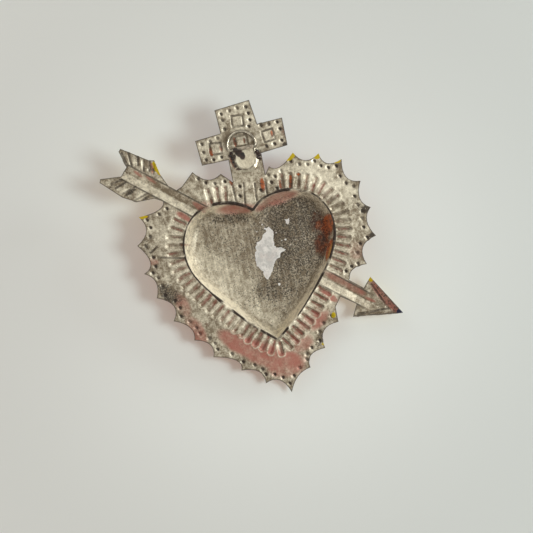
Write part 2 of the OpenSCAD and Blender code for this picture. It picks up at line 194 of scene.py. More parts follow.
cross = {
    "outline": [[-7.4, 15.4], [6.4, 16.6], [7.6, 6.9], [17.4, 7.3], [17.3, -3.5], [6.8, -4.4], [6.4, -25.2],
                [-6.4, -25.2], [-6.1, -4.4], [-16.5, -4.4], [-17.1, 5.4], [-7, 6.2]],
    "squares": [[.4, 9.6, 3], [10.9, 1.7, -6], [-10, .9, 5], [.2, 1.8, 0]], "squareSide": 4.3,
    "stemClear": 6.4, "stemEnd": -25.2, "stemRoom": 4,
}
arrow = {
    "nock": [-46.36, -.41], "slope": 38.8, "length": 120.3, "headLength": 17.5,
    "shaftTurn": 1.1, "shaftWidth": 6, "leftShaft": [.6, 42.4], "rightShaft": [78, 111],
    "strips": [[16, 42], [78, 104]],
    "head": [[0, 6.6], [-.2, 1.7], [-8, 1.9], [-8, -5.4], [.1, -5], [1, -9.9]],
    "fletching": [[17.9, 2.7], [12.8, 5.4], [8.4, 9.1], [6.7, 8.2], [-5.2, 7.2], [-5.3, 5.9], [.1, 2.1],
                  [-.2, -2.2], [-6.8, -6.7], [-6.4, -8.1], [4, -9.2], [9.8, -8.2], [15.1, -4], [18, -3.5]],
}


def at(heading):
    return np.array([math.sin(math.radians(heading)), math.cos(math.radians(heading))])


def smoothLine(points, steps):
    p = np.array([points[0]] + list(points) + [points[-1]], float)
    made = []
    for i in range(1, len(p) - 2):
        a, b, c, d = p[i - 1], p[i], p[i + 1], p[i + 2]
        for t in np.arange(steps) / steps:
            made.append((2 * b + (c - a) * t + (2 * a - 5 * b + 4 * c - d) * t ** 2
                         + (3 * b - a - 3 * c + d) * t ** 3) / 2)
    return made + [p[-1]]


def heartHalf(side):
    half = heart["right"] if side > 0 else heart["left"]
    return smoothLine([[heart["x"] + side * u * heart["width"] / 2, v * heart["height"] - heart["drop"]]
                       for u, v in half], heart["steps"])


rightEdge, leftEdge = heartHalf(1), heartHalf(-1)
heartLine = rightEdge + leftEdge[-2:0:-1]
heartCentre = np.array([heart["x"], -heart["drop"] - heart["middle"] * heart["height"]])


def reachOf(line, centre, heading):
    # distance from the centre to a closed line, towards a heading
    p = np.array(line) - centre
    e = np.roll(p, -1, axis=0) - p
    d = at(heading)
    den = d[0] * e[:, 1] - d[1] * e[:, 0]
    den[np.abs(den) < 1e-9] = 1e-9
    t = (p[:, 0] * e[:, 1] - p[:, 1] * e[:, 0]) / den
    u = (p[:, 0] * d[1] - p[:, 1] * d[0]) / den
    return t[(u >= -1e-9) & (u <= 1 + 1e-9)].max()


def rim(heading, reach):
    return heartCentre + at(heading) * (reachOf(heartLine, heartCentre, heading) + reach)


def bites(row, end, steps):
    # each scallop is a curve from its tip, through its bite, to the next tip
    made = []
    for i, (tipHeading, tipReach, lowHeading, lowReach) in enumerate(row):
        a, low = rim(tipHeading, tipReach), rim(lowHeading, lowReach)
        b = rim(*row[i + 1][:2]) if i + 1 < len(row) else end
        pull = 2 * low - (a + b) / 2
        share = np.arange(steps) / steps
        made.append([a * (1 - t) ** 2 + pull * 2 * t * (1 - t) + b * t ** 2 for t in share])
    return made


def borderRows(steps):
    return [bites(border["right"], rim(*border["shaftHigh"]), steps),
            bites(border["left"], rim(*border["fletchLow"]), steps),
            bites(border["top"], rim(*border["stemLeft"]), steps)]


def borderLine():
    right, left, top = [[p for bite in row for p in bite] for row in borderRows(border["steps"])]
    return ([rim(*border["stemRight"])] + right
            + [rim(*border["shaftHigh"]), rim(*border["shaftLow"])] + left
            + [rim(*border["fletchLow"]), rim(*border["fletchHigh"])] + top + [rim(*border["stemLeft"])])


def arrowPoint(p, turn=0):
    # from the arrow's own frame, along the shaft and across it
    a = math.radians(arrow["slope"] + turn)
    along, across = np.array([math.cos(a), -math.sin(a)]), np.array([math.sin(a), math.cos(a)])
    return np.array(arrow["nock"]) + p[0] * along + p[1] * across


def arrowFrame(points, turn=0):
    # how far points lie along the arrow and across it
    a = math.radians(arrow["slope"] + turn)
    flat = np.atleast_2d(points)
    x, z = flat[:, 0] - arrow["nock"][0], flat[:, 1] - arrow["nock"][1]
    return x * math.cos(a) - z * math.sin(a), x * math.sin(a) + z * math.cos(a)


def shaftSide(p):
    return arrowFrame(p, arrow["shaftTurn"])[1][0]


def shaftMarks(flat):
    # across the shaft, -1 at its lower edge and 1 at its upper edge, and how fully a point is on it
    along, across = arrowFrame(flat, arrow["shaftTurn"])
    on = np.zeros(len(flat))
    for first, last in (arrow["leftShaft"], arrow["rightShaft"]):
        on = np.maximum(on, np.clip(along - first + 1, 0, 1) * np.clip((last - 2 - along) / 5, 0, 1))
    return across / (arrow["shaftWidth"] / 2), on * ~inside(flat, heartLine)


def arrowHead():
    # from the tip round the upper barb, the socket and the lower barb
    back = arrow["length"] - arrow["headLength"]
    return [[arrow["length"], 0]] + [[back + u, v] for u, v in arrow["head"]]


def shaftStrip(span):
    half = arrow["shaftWidth"] / 2
    return [[span[0], -half], [span[1], -half], [span[1], half], [span[0], half]]


outlines = [borderLine(), cross["outline"], [arrowPoint(p) for p in arrow["fletching"]],
            [arrowPoint(p) for p in arrowHead()]]
outlines += [[arrowPoint(p, arrow["shaftTurn"]) for p in shaftStrip(span)] for span in arrow["strips"]]

# marks away from the edges, in the reference view
looseDots = [[239.7, 186.6], [240, 196.2], [260.8, 190.3], [271.3, 182.4], [275, 176.6], [277, 188.4],
             [281.3, 171]]

# the rays are a row of short lines that follows the heart
rays = {"gap": 1.2, "length": 4.6, "width": 2.2, "depth": .9, "pitch": 3.1, "start": 1.24,
        "lengthSpread": .12, "turnSpread": .07, "clearance": 1.3, "dotRoom": 3, "seed": 4}


def rayPath():
    path, reach = [], rays["gap"] + rays["length"] / 2
    for side in (rightEdge, leftEdge[::-1]):
        for a, b in zip(side, side[1:]):
            along = (b - a) / np.linalg.norm(b - a)
            out = np.array([-along[1], along[0]])
            path.append([(a + b) / 2, out])
    tip = len(rightEdge) - 1
    first, last = path[tip - 1][1], path[tip][1]
    fan = [(first * (1 - t) + last * t) for t in np.linspace(0, 1, 12)]
    path[tip:tip] = [[rightEdge[-1], f / np.linalg.norm(f)] for f in fan]
    return [p + out * reach for p, out in path]


def rayRowTree():
    inputs = [("Geometry", "NodeSocketGeometry", None), ("Pitch", "NodeSocketFloat", 1),
              ("Start", "NodeSocketFloat", 0), ("Length", "NodeSocketFloat", 1),
              ("Length Spread", "NodeSocketFloat", 0), ("Turn Spread", "NodeSocketFloat", 0),
              ("Seed", "NodeSocketInt", 0)]
    outputs = [("Geometry", "NodeSocketGeometry")]
    tree, given, result = newGroup("rayRow", "GeometryNodeTree", inputs, outputs)
    path = add(tree, "GeometryNodeMeshToCurve", {"Mesh": given["Geometry"]}).outputs[0]
    trimmed = add(tree, "GeometryNodeTrimCurve", {0: path, 4: given["Start"], 5: 10},
                  mode="LENGTH").outputs[0]
    row = add(tree, "GeometryNodeResampleCurve", {"Curve": trimmed, "Length": given["Pitch"]}, mode="LENGTH")
    tangent = add(tree, "GeometryNodeInputTangent").outputs[0]
    outward = add(tree, "ShaderNodeVectorMath", {0: tangent, 1: (0, -1, 0)},
                  operation="CROSS_PRODUCT").outputs[0]
    turn = add(tree, "FunctionNodeRandomValue", {2: times(tree, given["Turn Spread"], -1),
               3: given["Turn Spread"], "Seed": given["Seed"]}, data_type="FLOAT").outputs[1]
    lean = scaled(tree, tangent, turn)
    aim = add(tree, "ShaderNodeVectorMath", {0: outward, 1: lean}, operation="ADD").outputs[0]
    facing = add(tree, "FunctionNodeAlignRotationToVector", {"Vector": aim}, axis="X").outputs[0]
    half = times(tree, given["Length"], .5)
    ends = [add(tree, "ShaderNodeCombineXYZ", {"X": times(tree, half, side)}).outputs[0] for side in (-1, 1)]
    line = add(tree, "GeometryNodeMeshLine", {"Count": 2, "Start Location": ends[0], "Offset": ends[1]},
               mode="END_POINTS")
    size = add(tree, "FunctionNodeRandomValue", {2: minus(tree, 1, given["Length Spread"]),
               3: plus(tree, 1, given["Length Spread"]), "Seed": plus(tree, given["Seed"], 1)},
               data_type="FLOAT").outputs[1]
    placed = add(tree, "GeometryNodeInstanceOnPoints", {"Points": row.outputs[0],
                 "Instance": line.outputs[0], "Rotation": facing, "Scale": size})
    tree.links.new(add(tree, "GeometryNodeRealizeInstances", {0: placed.outputs[0]}).outputs[0], result[0])
    return tree


def clearOf(p, room):
    return (abs(shaftSide(p)) > arrow["shaftWidth"] / 2 + room
            and (p[1] < cross["stemEnd"] - cross["stemRoom"] or abs(p[0]) > cross["stemClear"] + room))


def makeRays():
    path = rayPath()
    guide = makeObject("rayGuide", [(x * mm, 0, z * mm) for x, z in path],
                       [(i, i + 1) for i in range(len(path) - 1)])
    runTree(guide, rayRowTree(), {
        "Pitch": rays["pitch"] * mm, "Start": rays["start"] * mm, "Length": rays["length"] * mm,
        "Length Spread": rays["lengthSpread"], "Turn Spread": rays["turnSpread"], "Seed": rays["seed"]})
    bake(guide)
    ends = [np.array([v.co.x, v.co.z]) / mm for v in guide.data.vertices]
    lines = [(ends[e.vertices[0]], ends[e.vertices[1]]) for e in guide.data.edges]
    bpy.data.objects.remove(guide)
    room = rays["clearance"]
    lines = [(a, b) for a, b in lines if clearOf(a, room) and clearOf(b, room)]
    loose = [seen(*p) for p in looseDots]
    return [(a, b) for a, b in lines
            if min(np.linalg.norm((a + b) / 2 - p) for p in loose) > rays["dotRoom"]]


rayLines = makeRays()
print("rays:", len(rayLines))

# punch marks behind the scallops and on the cross
dots = {"inset": 2, "behindTip": 1.7, "width": 2.2, "depth": .6, "clearance": 1.0, "spacing": 1.8}
crossDots = [
    [-5.2, 13.4], [-1.9, 14], [1.3, 14.4], [4.6, 14.2], [5, 11.6], [5.1, 9], [-5.2, 11], [-5.2, 7.4],
    [15.2, 6], [11.9, 5.9], [8.9, 6], [15.7, 3.2], [15.5, -1.2], [12.5, -2], [9.3, -2.2], [-14.9, 3.6],
    [-11.5, 4], [-8.5, 4.6], [-14.9, .4], [-14.5, -2.6], [-11.7, -3.2], [-8.5, -2.8], [4.2, 6.6],
]


def makeDots():
    made = []
    for row in borderRows(6):
        for bite in row:
            for k, inset in ((0, dots["inset"] * dots["behindTip"]), (2, dots["inset"]), (4, dots["inset"])):
                p = bite[k] + (heartCentre - bite[k]) / np.linalg.norm(heartCentre - bite[k]) * inset
                if clearOf(p, dots["clearance"]):
                    made.append(p)
    kept = [seen(*p) for p in looseDots] + [np.array(p, float) for p in crossDots]
    for p in made:
        if min(np.linalg.norm(p - q) for q in kept) > dots["spacing"]:
            kept.append(p)
    return kept


dotPoints = makeDots()
chased = {"width": 1.15, "depth": .45}


def squareLines(square):
    x, z, turn = square
    reach = cross["squareSide"] * math.sqrt(.5)
    corners = [np.array([x, z]) + reach * at(45 + 90 * k + turn) for k in range(4)]
    return [(corners[i], corners[(i + 1) % 4]) for i in range(4)]


# strokes of the chisel in the reference view, [from, to]
strokes = {
    "stem": [[[243.6, 183], [245.3, 205]], [[254.6, 183.5], [256.8, 200]], [[231.5, 182], [237, 205]],
             [[265, 179], [267.5, 196]], [[251, 211], [261, 200.5]]],
    "feather": [[[121.5, 153], [127.8, 166]], [[128, 152.5], [131.7, 166]], [[137.5, 156.5], [138, 165.5]],
                [[143.2, 161], [143.8, 171]], [[149.6, 161], [149.4, 171]], [[153.8, 165], [153.4, 174]],
                [[125.5, 182.5], [115.5, 188.5]], [[135.2, 186.8], [122.5, 194]],
                [[147.5, 193.5], [134.5, 200.5]], [[121.5, 180], [110, 184.5]]],
    "border": [[[158, 257.4], [184, 258.3]], [[150.5, 253], [157, 247]]],
    "head": [[[371.6, 284], [389, 309]], [[357.5, 314.5], [388, 308.5]]],
}
chasedLines = [line for c in cross["squares"] for line in squareLines(c)]
chasedLines += [(seen(*a), seen(*b)) for row in strokes.values() for a, b in row]
shaftLines = [tuple(arrowPoint([u, 0], arrow["shaftTurn"]) for u in arrow[side])
              for side in ("leftShaft", "rightShaft")]

# the sheet is a flat triangulated blank, which is then chased
sheet = {"thickness": .4, "spacing": .4, "floorSpacing": .75, "floorShare": .7, "edgeRoom": .16,
         "grooveRoom": 1.15, "grooveStep": .42, "grooveEdgeRoom": .1, "markRoom": 1.2,
         "markRings": [[.3, 6], [.62, 10], [.95, 14]], "edgeStep": 1.3,
         "wallWidth": 9.5, "shaftDepth": 1.55, "warp": .5, "hammer": .12}
# the light falls from this side, which is up and to the right in the reference view: groove walls away from
# it get painted highlights, and walls towards it painted shade
lightRight, lightUp = .75, .65
lightSide = (lightRight * math.cos(roll) + lightUp * math.sin(roll), 0,
            lightUp * math.cos(roll) - lightRight * math.sin(roll))
headDish = {"depth": .9, "farWidth": 2.4, "lowWidth": 1.1, "runIn": 6.4, "barbStart": 1.3, "barbHalf": 11,
            "socketHalf": 6}
sheetLow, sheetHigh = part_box("tin_sheet")
backY = sheetLow.y
domeDepth = sheetHigh.y - backY - sheet["thickness"] * mm


def toSegments(points, lines):
    # distance in the plane from each point to the nearest of the lines
    best = np.full(len(points), 1e9)
    for a, b in lines:
        a, b = np.array(a, float), np.array(b, float)
        d = b - a
        t = np.clip(((points - a) @ d) / max(d @ d, 1e-12), 0, 1)
        best = np.minimum(best, np.hypot(*(points - a - t[:, None] * d).T))
    return best


def inside(points, line):
    p = np.array(line)
    q = np.roll(p, -1, axis=0)
    found = np.zeros(len(points), bool)
    for (ax, az), (bx, bz) in zip(p, q):
        if az != bz:
            crossing = (points[:, 1] < az) != (points[:, 1] < bz)
            found ^= crossing & (points[:, 0] < (bx - ax) * (points[:, 1] - az) / (bz - az) + ax)
    return found


def closed(line):
    return list(zip(line, list(line[1:]) + [line[0]]))


def hexGrid(step):
    low = np.min([np.min(o, axis=0) for o in outlines], axis=0) - step
    high = np.max([np.max(o, axis=0) for o in outlines], axis=0) + step
    made = []
    for i, z in enumerate(np.arange(low[1], high[1], step * .866)):
        row = np.arange(low[0], high[0], step) + (step / 2 if i % 2 else 0)
        made.append(np.column_stack([row, np.full(len(row), z)]))
    return np.concatenate(made)


def alongLine(a, b, half, step):
    # points that run along a groove: its middle, its flanks and its ends
    a, b = np.array(a, float), np.array(b, float)
    length = np.linalg.norm(b - a)
    along = (b - a) / length
    across = np.array([-along[1], along[0]])
    made = []
    for side in (-1, -.5, 0, .5, 1):
        extra = half * math.sqrt(max(0, 1 - side * side))
        for s in np.linspace(-extra, length + extra, max(3, int((length + 2 * extra) / step) + 1)):
            made.append(a + along * s + across * side * half)
    return made


def onTin(points):
    found = np.zeros(len(points), bool)
    for outline in outlines:
        found |= inside(points, outline)
    return found


def blankPoints(edgeLines):
    # an even grid, coarser on the heart's floor, with rows along the grooves and rings round the punch marks
    floorLine = [heartCentre + (np.array(p) - heartCentre) * sheet["floorShare"] for p in heartLine]
    fine, coarse = hexGrid(sheet["spacing"]), hexGrid(sheet["floorSpacing"])
    points = np.concatenate([fine[~inside(fine, floorLine)], coarse[inside(coarse, floorLine)]])
    points = points[onTin(points)]
    points = points[toSegments(points, edgeLines) > sheet["edgeRoom"]]
    extra = []
    for lines, half in ((rayLines, rays["width"] / 2), (chasedLines, chased["width"] / 2)):
        points = points[toSegments(points, lines) > half * sheet["grooveRoom"]]
        extra += [p for a, b in lines for p in alongLine(a, b, half, sheet["grooveStep"])]
    marks, half = np.array(dotPoints), dots["width"] / 2
    near = np.array([np.hypot(*(marks - p).T).min() for p in points])
    points = points[near > half * sheet["markRoom"]]
    for p in marks:
        extra.append(p)
        for share, count in sheet["markRings"]:
            extra += [p + half * share * at(360 * k / count) for k in range(count)]
    extra = np.array(extra)
    extra = extra[onTin(extra)]
    extra = extra[toSegments(extra, edgeLines) > sheet["grooveEdgeRoom"]]
    return np.concatenate([points, extra])


def blankSheet():
    edgeLines = [side for outline in outlines for side in closed(outline)] + closed(heartLine)
    coords, edges, faces = [Vector(p) for p in blankPoints(edgeLines)], [], []
    for line in outlines + [heartLine]:
        first, steps = len(coords), []
        for a, b in closed([np.array(p, float) for p in line]):
            count = max(1, int(np.linalg.norm(b - a) / (sheet["spacing"] * sheet["edgeStep"])))
            steps += [a + (b - a) * k / count for k in range(count)]
        coords += [Vector(p) for p in steps]
        loop = list(range(first, len(coords)))
        edges += list(zip(loop, loop[1:] + loop[:1]))
        if line is not heartLine:
            faces.append(loop)
    verts, _, triangles, *_ = delaunay_2d_cdt(coords, edges, faces, 1, 1e-4)
    used = sorted({i for t in triangles for i in t})
    place = {old: new for new, old in enumerate(used)}
    flat = np.array([verts[i] for i in used])
    made = makeObject("tinSheet", [(x * mm, backY, z * mm) for x, z in flat], (),
                      [[place[i] for i in t] for t in triangles])
    store(made, "inHeart", inside(flat, heartLine))
    store(made, "lift", dishedHead(flat) * mm)
    across, on = shaftMarks(flat)
    store(made, "shaftAcross", across)
    store(made, "shaftOn", on)
    return made


def dishedHead(flat):
    # the arrowhead's two long edges turn up towards the back, so its middle lies deeper
    head = [arrowPoint(p) for p in arrowHead()]
    far = toSegments(flat, [(head[0], head[1])]) / headDish["farWidth"]
    low = toSegments(flat, [(head[0], head[6])]) / headDish["lowWidth"]
    along, across = arrowFrame(flat)
    back = arrow["length"] - arrow["headLength"]
    half = np.where(along > back - headDish["barbStart"], headDish["barbHalf"], headDish["socketHalf"])
    deep = np.clip(np.minimum(far, low), 0, 1)
    rise = np.clip((along - back + headDish["runIn"]) / headDish["runIn"], 0, 1)
    depth = (np.abs(across) < half) * headDish["depth"]
    return depth * deep * deep * (3 - 2 * deep) * rise * rise * (3 - 2 * rise)


def guideLines(name, lines):
    verts = [(p[0] * mm, backY, p[1] * mm) for line in lines for p in line]
    return makeObject(name, verts, [(2 * i, 2 * i + 1) for i in range(len(lines))])


def boundaryLines(obj):
    counts = {}
    for polygon in obj.data.polygons:
        for key in polygon.edge_keys:
            counts[key] = counts.get(key, 0) + 1
    flat = [(v.co.x / mm, v.co.z / mm) for v in obj.data.vertices]
    return [(flat[a], flat[b]) for (a, b), n in counts.items() if n == 1]


def profile(tree, value, points):
    made = add(tree, "ShaderNodeFloatCurve", {"Value": value})
    curve = made.mapping.curves[0]
    while len(curve.points) < len(points):
        curve.points.new(.5, .5)
    for point, place in zip(curve.points, points):
        point.location = place
    made.mapping.update()
    return made.outputs[0]


# how deep each mark is, from its middle to its full width: 1 is the bottom, and flat tin rests at flatTin
profiles = {
    "ray": [(0, 1), (.15, .93), (.3, .62), (.42, .26), (.52, .08), (.62, .03), (.78, .12), (1, .2)],
    "line": [(0, 1), (.25, .93), (.38, .6), (.5, .12), (.62, .03), (.78, .12), (1, .2)],
    "dot": [(0, 1), (.15, .9), (.4, .32), (.55, .08), (.7, .15), (1, .2)],
    "wall": [(0, 0), (.03, .05), (.13, .4), (.25, .74), (.37, .9), (.55, .975), (1, 1)],
}
flatTin = .2


def chaseTree():
    inputs = [("Geometry", "NodeSocketGeometry", None)]
    inputs += [(name, "NodeSocketObject", None)
               for name in ("Rays", "Dots", "Lines", "Shaft", "Heart", "Rim")]
    inputs += [("Light Side", "NodeSocketVector", None)]
    inputs += [(name, "NodeSocketFloat", 0) for name in (
        "Ray Width", "Ray Depth", "Dot Width", "Dot Depth", "Line Width", "Line Depth", "Shaft Width",
        "Shaft Depth", "Wall Width", "Dome Depth", "Warp", "Hammer")]
    outputs = [("Geometry", "NodeSocketGeometry")]
    tree, given, result = newGroup("chaseTin", "GeometryNodeTree", inputs, outputs)
    place = add(tree, "GeometryNodeInputPosition").outputs[0]

    def nearest(name, element):
        guide = add(tree, "GeometryNodeObjectInfo", {"Object": given[name]}).outputs["Geometry"]
        return add(tree, "GeometryNodeProximity", {0: guide}, target_element=element).outputs

    def towards(found, width):
        # how far a point lies towards the light's side, from the middle of its groove, in widths
        offset = add(tree, "ShaderNodeVectorMath", {0: place, 1: found["Position"]}, operation="SUBTRACT")
        side = add(tree, "ShaderNodeVectorMath", {0: offset.outputs[0], 1: given["Light Side"]},
                   operation="DOT_PRODUCT").outputs["Value"]
        return maths(tree, "DIVIDE", side, width)

    def pressed(distance, width, name):
        return profile(tree, maths(tree, "DIVIDE", distance, width, clamp=True), profiles[name])

    def named(name):
        return add(tree, "GeometryNodeInputNamedAttribute", {"Name": name}, data_type="FLOAT").outputs[0]

    uneven = noiseAt(tree, place, 170)
    wander = plus(tree, .55, times(tree, uneven, .9))
    rayFound, dotFound = nearest("Rays", "EDGES"), nearest("Dots", "POINTS")
    ray = pressed(times(tree, rayFound["Distance"], wander), given["Ray Width"], "ray")
    line = pressed(nearest("Lines", "EDGES")["Distance"], given["Line Width"], "line")
    dot = pressed(dotFound["Distance"], given["Dot Width"], "dot")
    halfShaft = times(tree, given["Shaft Width"], .5)
    shaft = add(tree, "ShaderNodeMapRange", {"Value": nearest("Shaft", "EDGES")["Distance"], "From Min": 0,
                "From Max": halfShaft, "To Min": 1, "To Max": 0}).outputs[0]
    heartDistance = nearest("Heart", "EDGES")["Distance"]
    inHeart = named("inHeart")
    outside = minus(tree, 1, inHeart)
    wall = pressed(heartDistance, given["Wall Width"], "wall")
    dome = times(tree, times(tree, wall, inHeart), given["Dome Depth"])
    total = plus(tree, dome, named("lift"))
    for value, depth in ((ray, "Ray Depth"), (line, "Line Depth"), (dot, "Dot Depth")):
        pressedIn = times(tree, minus(tree, value, flatTin), given[depth])
        total = plus(tree, total, pressedIn)
    ridged = times(tree, times(tree, shaft, outside), given["Shaft Depth"])
    total = plus(tree, total, ridged)
    # slight bends away from the heart, and hammer marks all over
    away = add(tree, "ShaderNodeMapRange", {"Value": heartDistance, "From Max": .012,
               "To Max": 1}).outputs[0]
    bend = minus(tree, noiseAt(tree, place, 28, 1), .5)
    bend = times(tree, bend, times(tree, outside, away))
    total = plus(tree, total, times(tree, bend, given["Warp"]))
    dents = minus(tree, noiseAt(tree, place, 300, 1.5), .5)
    total = plus(tree, total, times(tree, dents, given["Hammer"]))
    signed = times(tree, heartDistance, minus(tree, times(tree, inHeart, 2), 1))
    kept = {"ray": ray, "raySide": towards(rayFound, given["Ray Width"]), "stroke": line, "pit": dot,
            "dotSide": towards(dotFound, given["Dot Width"]), "dotDistance": dotFound["Distance"],
            "heartDistance": signed, "rimDistance": nearest("Rim", "EDGES")["Distance"]}
    geometry = given["Geometry"]
    for name, value in kept.items():
        geometry = add(tree, "GeometryNodeStoreNamedAttribute", {"Geometry": geometry, "Name": name,
                       "Value": value}, data_type="FLOAT", domain="POINT").outputs[0]
    offset = add(tree, "ShaderNodeCombineXYZ", {"Y": total}).outputs[0]
    moved = add(tree, "GeometryNodeSetPosition", {"Geometry": geometry, "Offset": offset}).outputs[0]
    tree.links.new(moved, result[0])
    return tree


# soft ovals in the reference view, [x, y, half length, half width, turn, strength]: pink, yellow and navy
# paint, rust and amber are the tin's own marks, while dark and cream are partly tarnish and wear and partly
# painted shade and painted light
ovalLayers = {
    "pink": [[237, 209, 21, 5.5, 4, .85], [280, 198, 20, 6, 19, .85], [262, 206, 9, 3.5, 35, .7],
             [236, 343, 20, 9, -32, .9], [262, 354, 28, 12, -25, 1.2], [286, 364, 20, 13, 10, 1.1],
             [303, 344, 12, 8, 40, .7], [318, 320, 14, 8, 45, .75], [306, 322, 26, 5, 52, .5],
             [196, 333, 9, 20, 25, .75], [183, 306, 7, 16, 25, .5], [199, 207, 8, 3, -37, .8],
             [184, 217, 9, 3, -32, .9], [337, 278.5, 15, 4, -28, .62], [355, 288.5, 13, 4, -28, .62],
             [329, 296, 11, 3.2, -32, 1], [371, 300, 6, 1.6, -24, 1], [387, 298, 24, 5.5, -47, 1],
             [138, 174, 6, 1.6, -35, .8], [151, 180, 7, 1.8, -35, .8], [204, 206, 8, 5, 20, .6],
             [152, 262, 7, 4, 0, .6], [356, 250, 12, 10, 0, .35], [265, 346, 16, 5, -30, .6]],
    "rust": [[328, 225, 6.5, 13, -8, 1], [329.6, 249, 2.4, 12, -16, 1.2], [323, 244, 9, 13, 0, .62],
             [318, 222, 8, 12, 0, .55], [290.3, 181.5, 1.7, 8, 0, 1], [280.4, 184.5, 1.5, 6, 8, 1],
             [298.5, 174, 1.8, 2, 0, .9], [299, 181, 1.3, 5, 0, .5], [262.5, 185, 2.6, 8, 8, .9],
             [211, 152.5, 2, 5, 12, .9], [234.7, 142, 1.6, 5, 12, 1], [244.5, 140.5, 1.4, 3.5, 12, .8],
             [221, 148, 2.4, 4, 0, .6], [272, 134, 1.5, 4, 12, .8], [283, 131, 2, 6, 12, .6],
             [231, 182.5, 1.8, 4, 12, .8], [234, 163, 3, 8, 25, .85], [152, 168, 2, 6, 5, .7],
             [146.5, 217, 2.6, 2, 0, .9], [182, 214, 6, 1.6, -25, .4], [271.5, 182, 1.8, 1.8, 0, .6],
             [226, 128, 2.5, 2, 0, .5], [240, 187, 2, 1.4, 0, .5], [185, 245, 6, 1.4, 0, .6],
             [207.6, 325, 2.4, 2.4, 0, .4]],
    # dark: partly tarnish and partly painted shade, such as on heart walls, the heart floor and feather
    # bands that turn from the light
    "dark": [[333, 161, 3, 2.4, 0, 1.6], [142, 258, 3, 5, 10, 1.2], [386, 298, 24, 4.6, -47, .9],
             [322, 243, 9, 11, 0, 1], [297, 232, 40, 52, 8, .75], [300, 207, 34, 12, -8, .6],
             [233, 217, 24, 6, 3, .6], [276, 288, 26, 12, 10, .55], [130.5, 192.5, 6.5, 2, 33, 1.8],
             [146, 198, 5.5, 1.6, 34, 1.5], [113, 186, 5, 2, 15, 1], [366, 209, 6, 4.5, 20, 1.7],
             [373, 235, 4.5, 2.6, 0, 1.8], [321, 162.5, 5, 3.6, -30, .7], [170, 294, 15, 8, -38, 1.3],
             [320, 339, 9, 4, 70, 1.1], [150, 246, 8, 10, 60, .5], [176, 310, 14, 5, -45, .5],
             [285, 144.5, 3.2, 2.4, 35, 2.2], [231, 203, 6, 3, -10, 1], [345, 262, 10, 12, 0, .45],
             [352, 206, 14, 10, -30, .45], [137.5, 161, 2.6, 6, 0, .6], [149, 166, 2, 5, 0, .6],
             [233, 154, 5, 4, 0, .9], [258.5, 154, 3.4, 5, 0, .9], [226, 177, 4, 5, 20, .5],
             [120, 183, 12, 5, 25, .45], [340, 268, 10, 6, -20, .5], [218, 145, 16, 3, 12, .25],
             [250, 300, 24, 8, -30, .25]],
    # cream: partly worn tone and partly painted light, such as on heart walls and feather bands that face
    # the light
    "cream": [[327, 180, 40, 14, -33, 1], [290, 170, 24, 8, 10, .7], [343, 190, 10, 16, 30, .6],
              [164, 236, 15, 20, 15, .45], [214, 190, 22, 8, 20, .7], [222, 286, 30, 13, -36, .75],
              [262, 312, 28, 10, -38, .6], [203, 262, 9, 20, 18, .5], [250, 192, 8, 14, 10, .7],
              [235, 110, 18, 14, 12, .55], [276, 142, 12, 6, 12, .6], [206, 153, 10, 12, 12, .4],
              [167, 183, 12, 5, -38, .8], [332, 291, 14, 3, -30, .5], [322, 276, 6, 20, -38, .7],
              [190, 250, 5, 25, -8, .7], [150, 184, 34, 3, -38, .8], [146, 172, 14, 6, -40, .4],
              [122, 160, 5, 8, 20, .5], [160, 228, 8, 4, 0, .7], [124.3, 191, 5.5, 1.7, 26, 1.7],
              [139.4, 196.8, 6, 1.8, 36, 1.7], [134, 160, 1.3, 5, 5, 1.6], [142.5, 165, 1.4, 5, 5, 1.6],
              [231, 278, 34, 12, -40, .8], [298, 312, 33, 5, 52, 1.5], [236, 318, 14, 8, -38, .8],
              [242, 141, 9, 5, 12, 1], [190, 240, 4, 20, 0, .4], [222, 299, 34, 5, -37, 1.6],
              [268, 325, 16, 8, -30, .5], [225, 210, 16, 4, 0, 1.2], [284, 197, 20, 5, 19, 1.2],
              [241, 118, 16, 12, 12, 1.1], [214, 149, 12, 12, 12, .8], [272, 134, 12, 10, 12, .8],
              [306, 260, 16, 30, 10, .3]],
    "yellow": [[291, 156.3, 5.8, 2.8, 44, 1.4], [317, 156.4, 3.6, 2.8, 0, 1.2], [337, 161.2, 4, 2, 8, 1.2],
               [156.9, 168.6, 8, 2.7, -59, 1.1], [143.6, 217.3, 5, 1.6, 10, 1], [333.6, 315, 2.2, 3, 0, 1],
               [323, 344, 1.6, 1.4, 0, .8], [371, 279.5, 2.4, 2.6, 0, .9]],
    "navy": [[400.8, 311.6, 3.4, 4.4, -47, 1.5]],
    "amber": [[330.4, 251, 1.3, 9, -16, .9]],
}


def paintOvals(obj):
    flat = flatPlaces(obj.data.vertices, "co")
    for name, spots in ovalLayers.items():
        layer = np.zeros(len(flat))
        for x, y, half, width, turn, strength in spots:
            offset = (flat - seen(x, y)) * view["pixelsPerMm"]
            angle = math.radians(turn) - roll
            u = offset[:, 0] * math.cos(angle) + offset[:, 1] * math.sin(angle)
            v = -offset[:, 0] * math.sin(angle) + offset[:, 1] * math.cos(angle)
            # full within about half of the oval, and gone a third past its edge
            reach = np.clip((1.35 - np.hypot(u / half, v / width)) / .8, 0, 1)
            layer = np.maximum(layer, strength * reach * reach * (3 - 2 * reach))
        store(obj, name, layer)


def ramp(tree, value, low, high, start=0, end=1):
    return add(tree, "ShaderNodeMapRange", {"Value": value, "From Min": low, "From Max": high,
               "To Min": start, "To Max": end}, interpolation_type="SMOOTHSTEP").outputs[0]


def blend(tree, mask, a, b):
    a = (*a, 1) if isinstance(a, tuple) else a
    b = (*b, 1) if isinstance(b, tuple) else b
    return add(tree, "ShaderNodeMix", {0: mask, 6: a, 7: b}, data_type="RGBA").outputs[2]


def layerOf(tree, name):
    return add(tree, "ShaderNodeAttribute", attribute_name=name).outputs["Fac"]


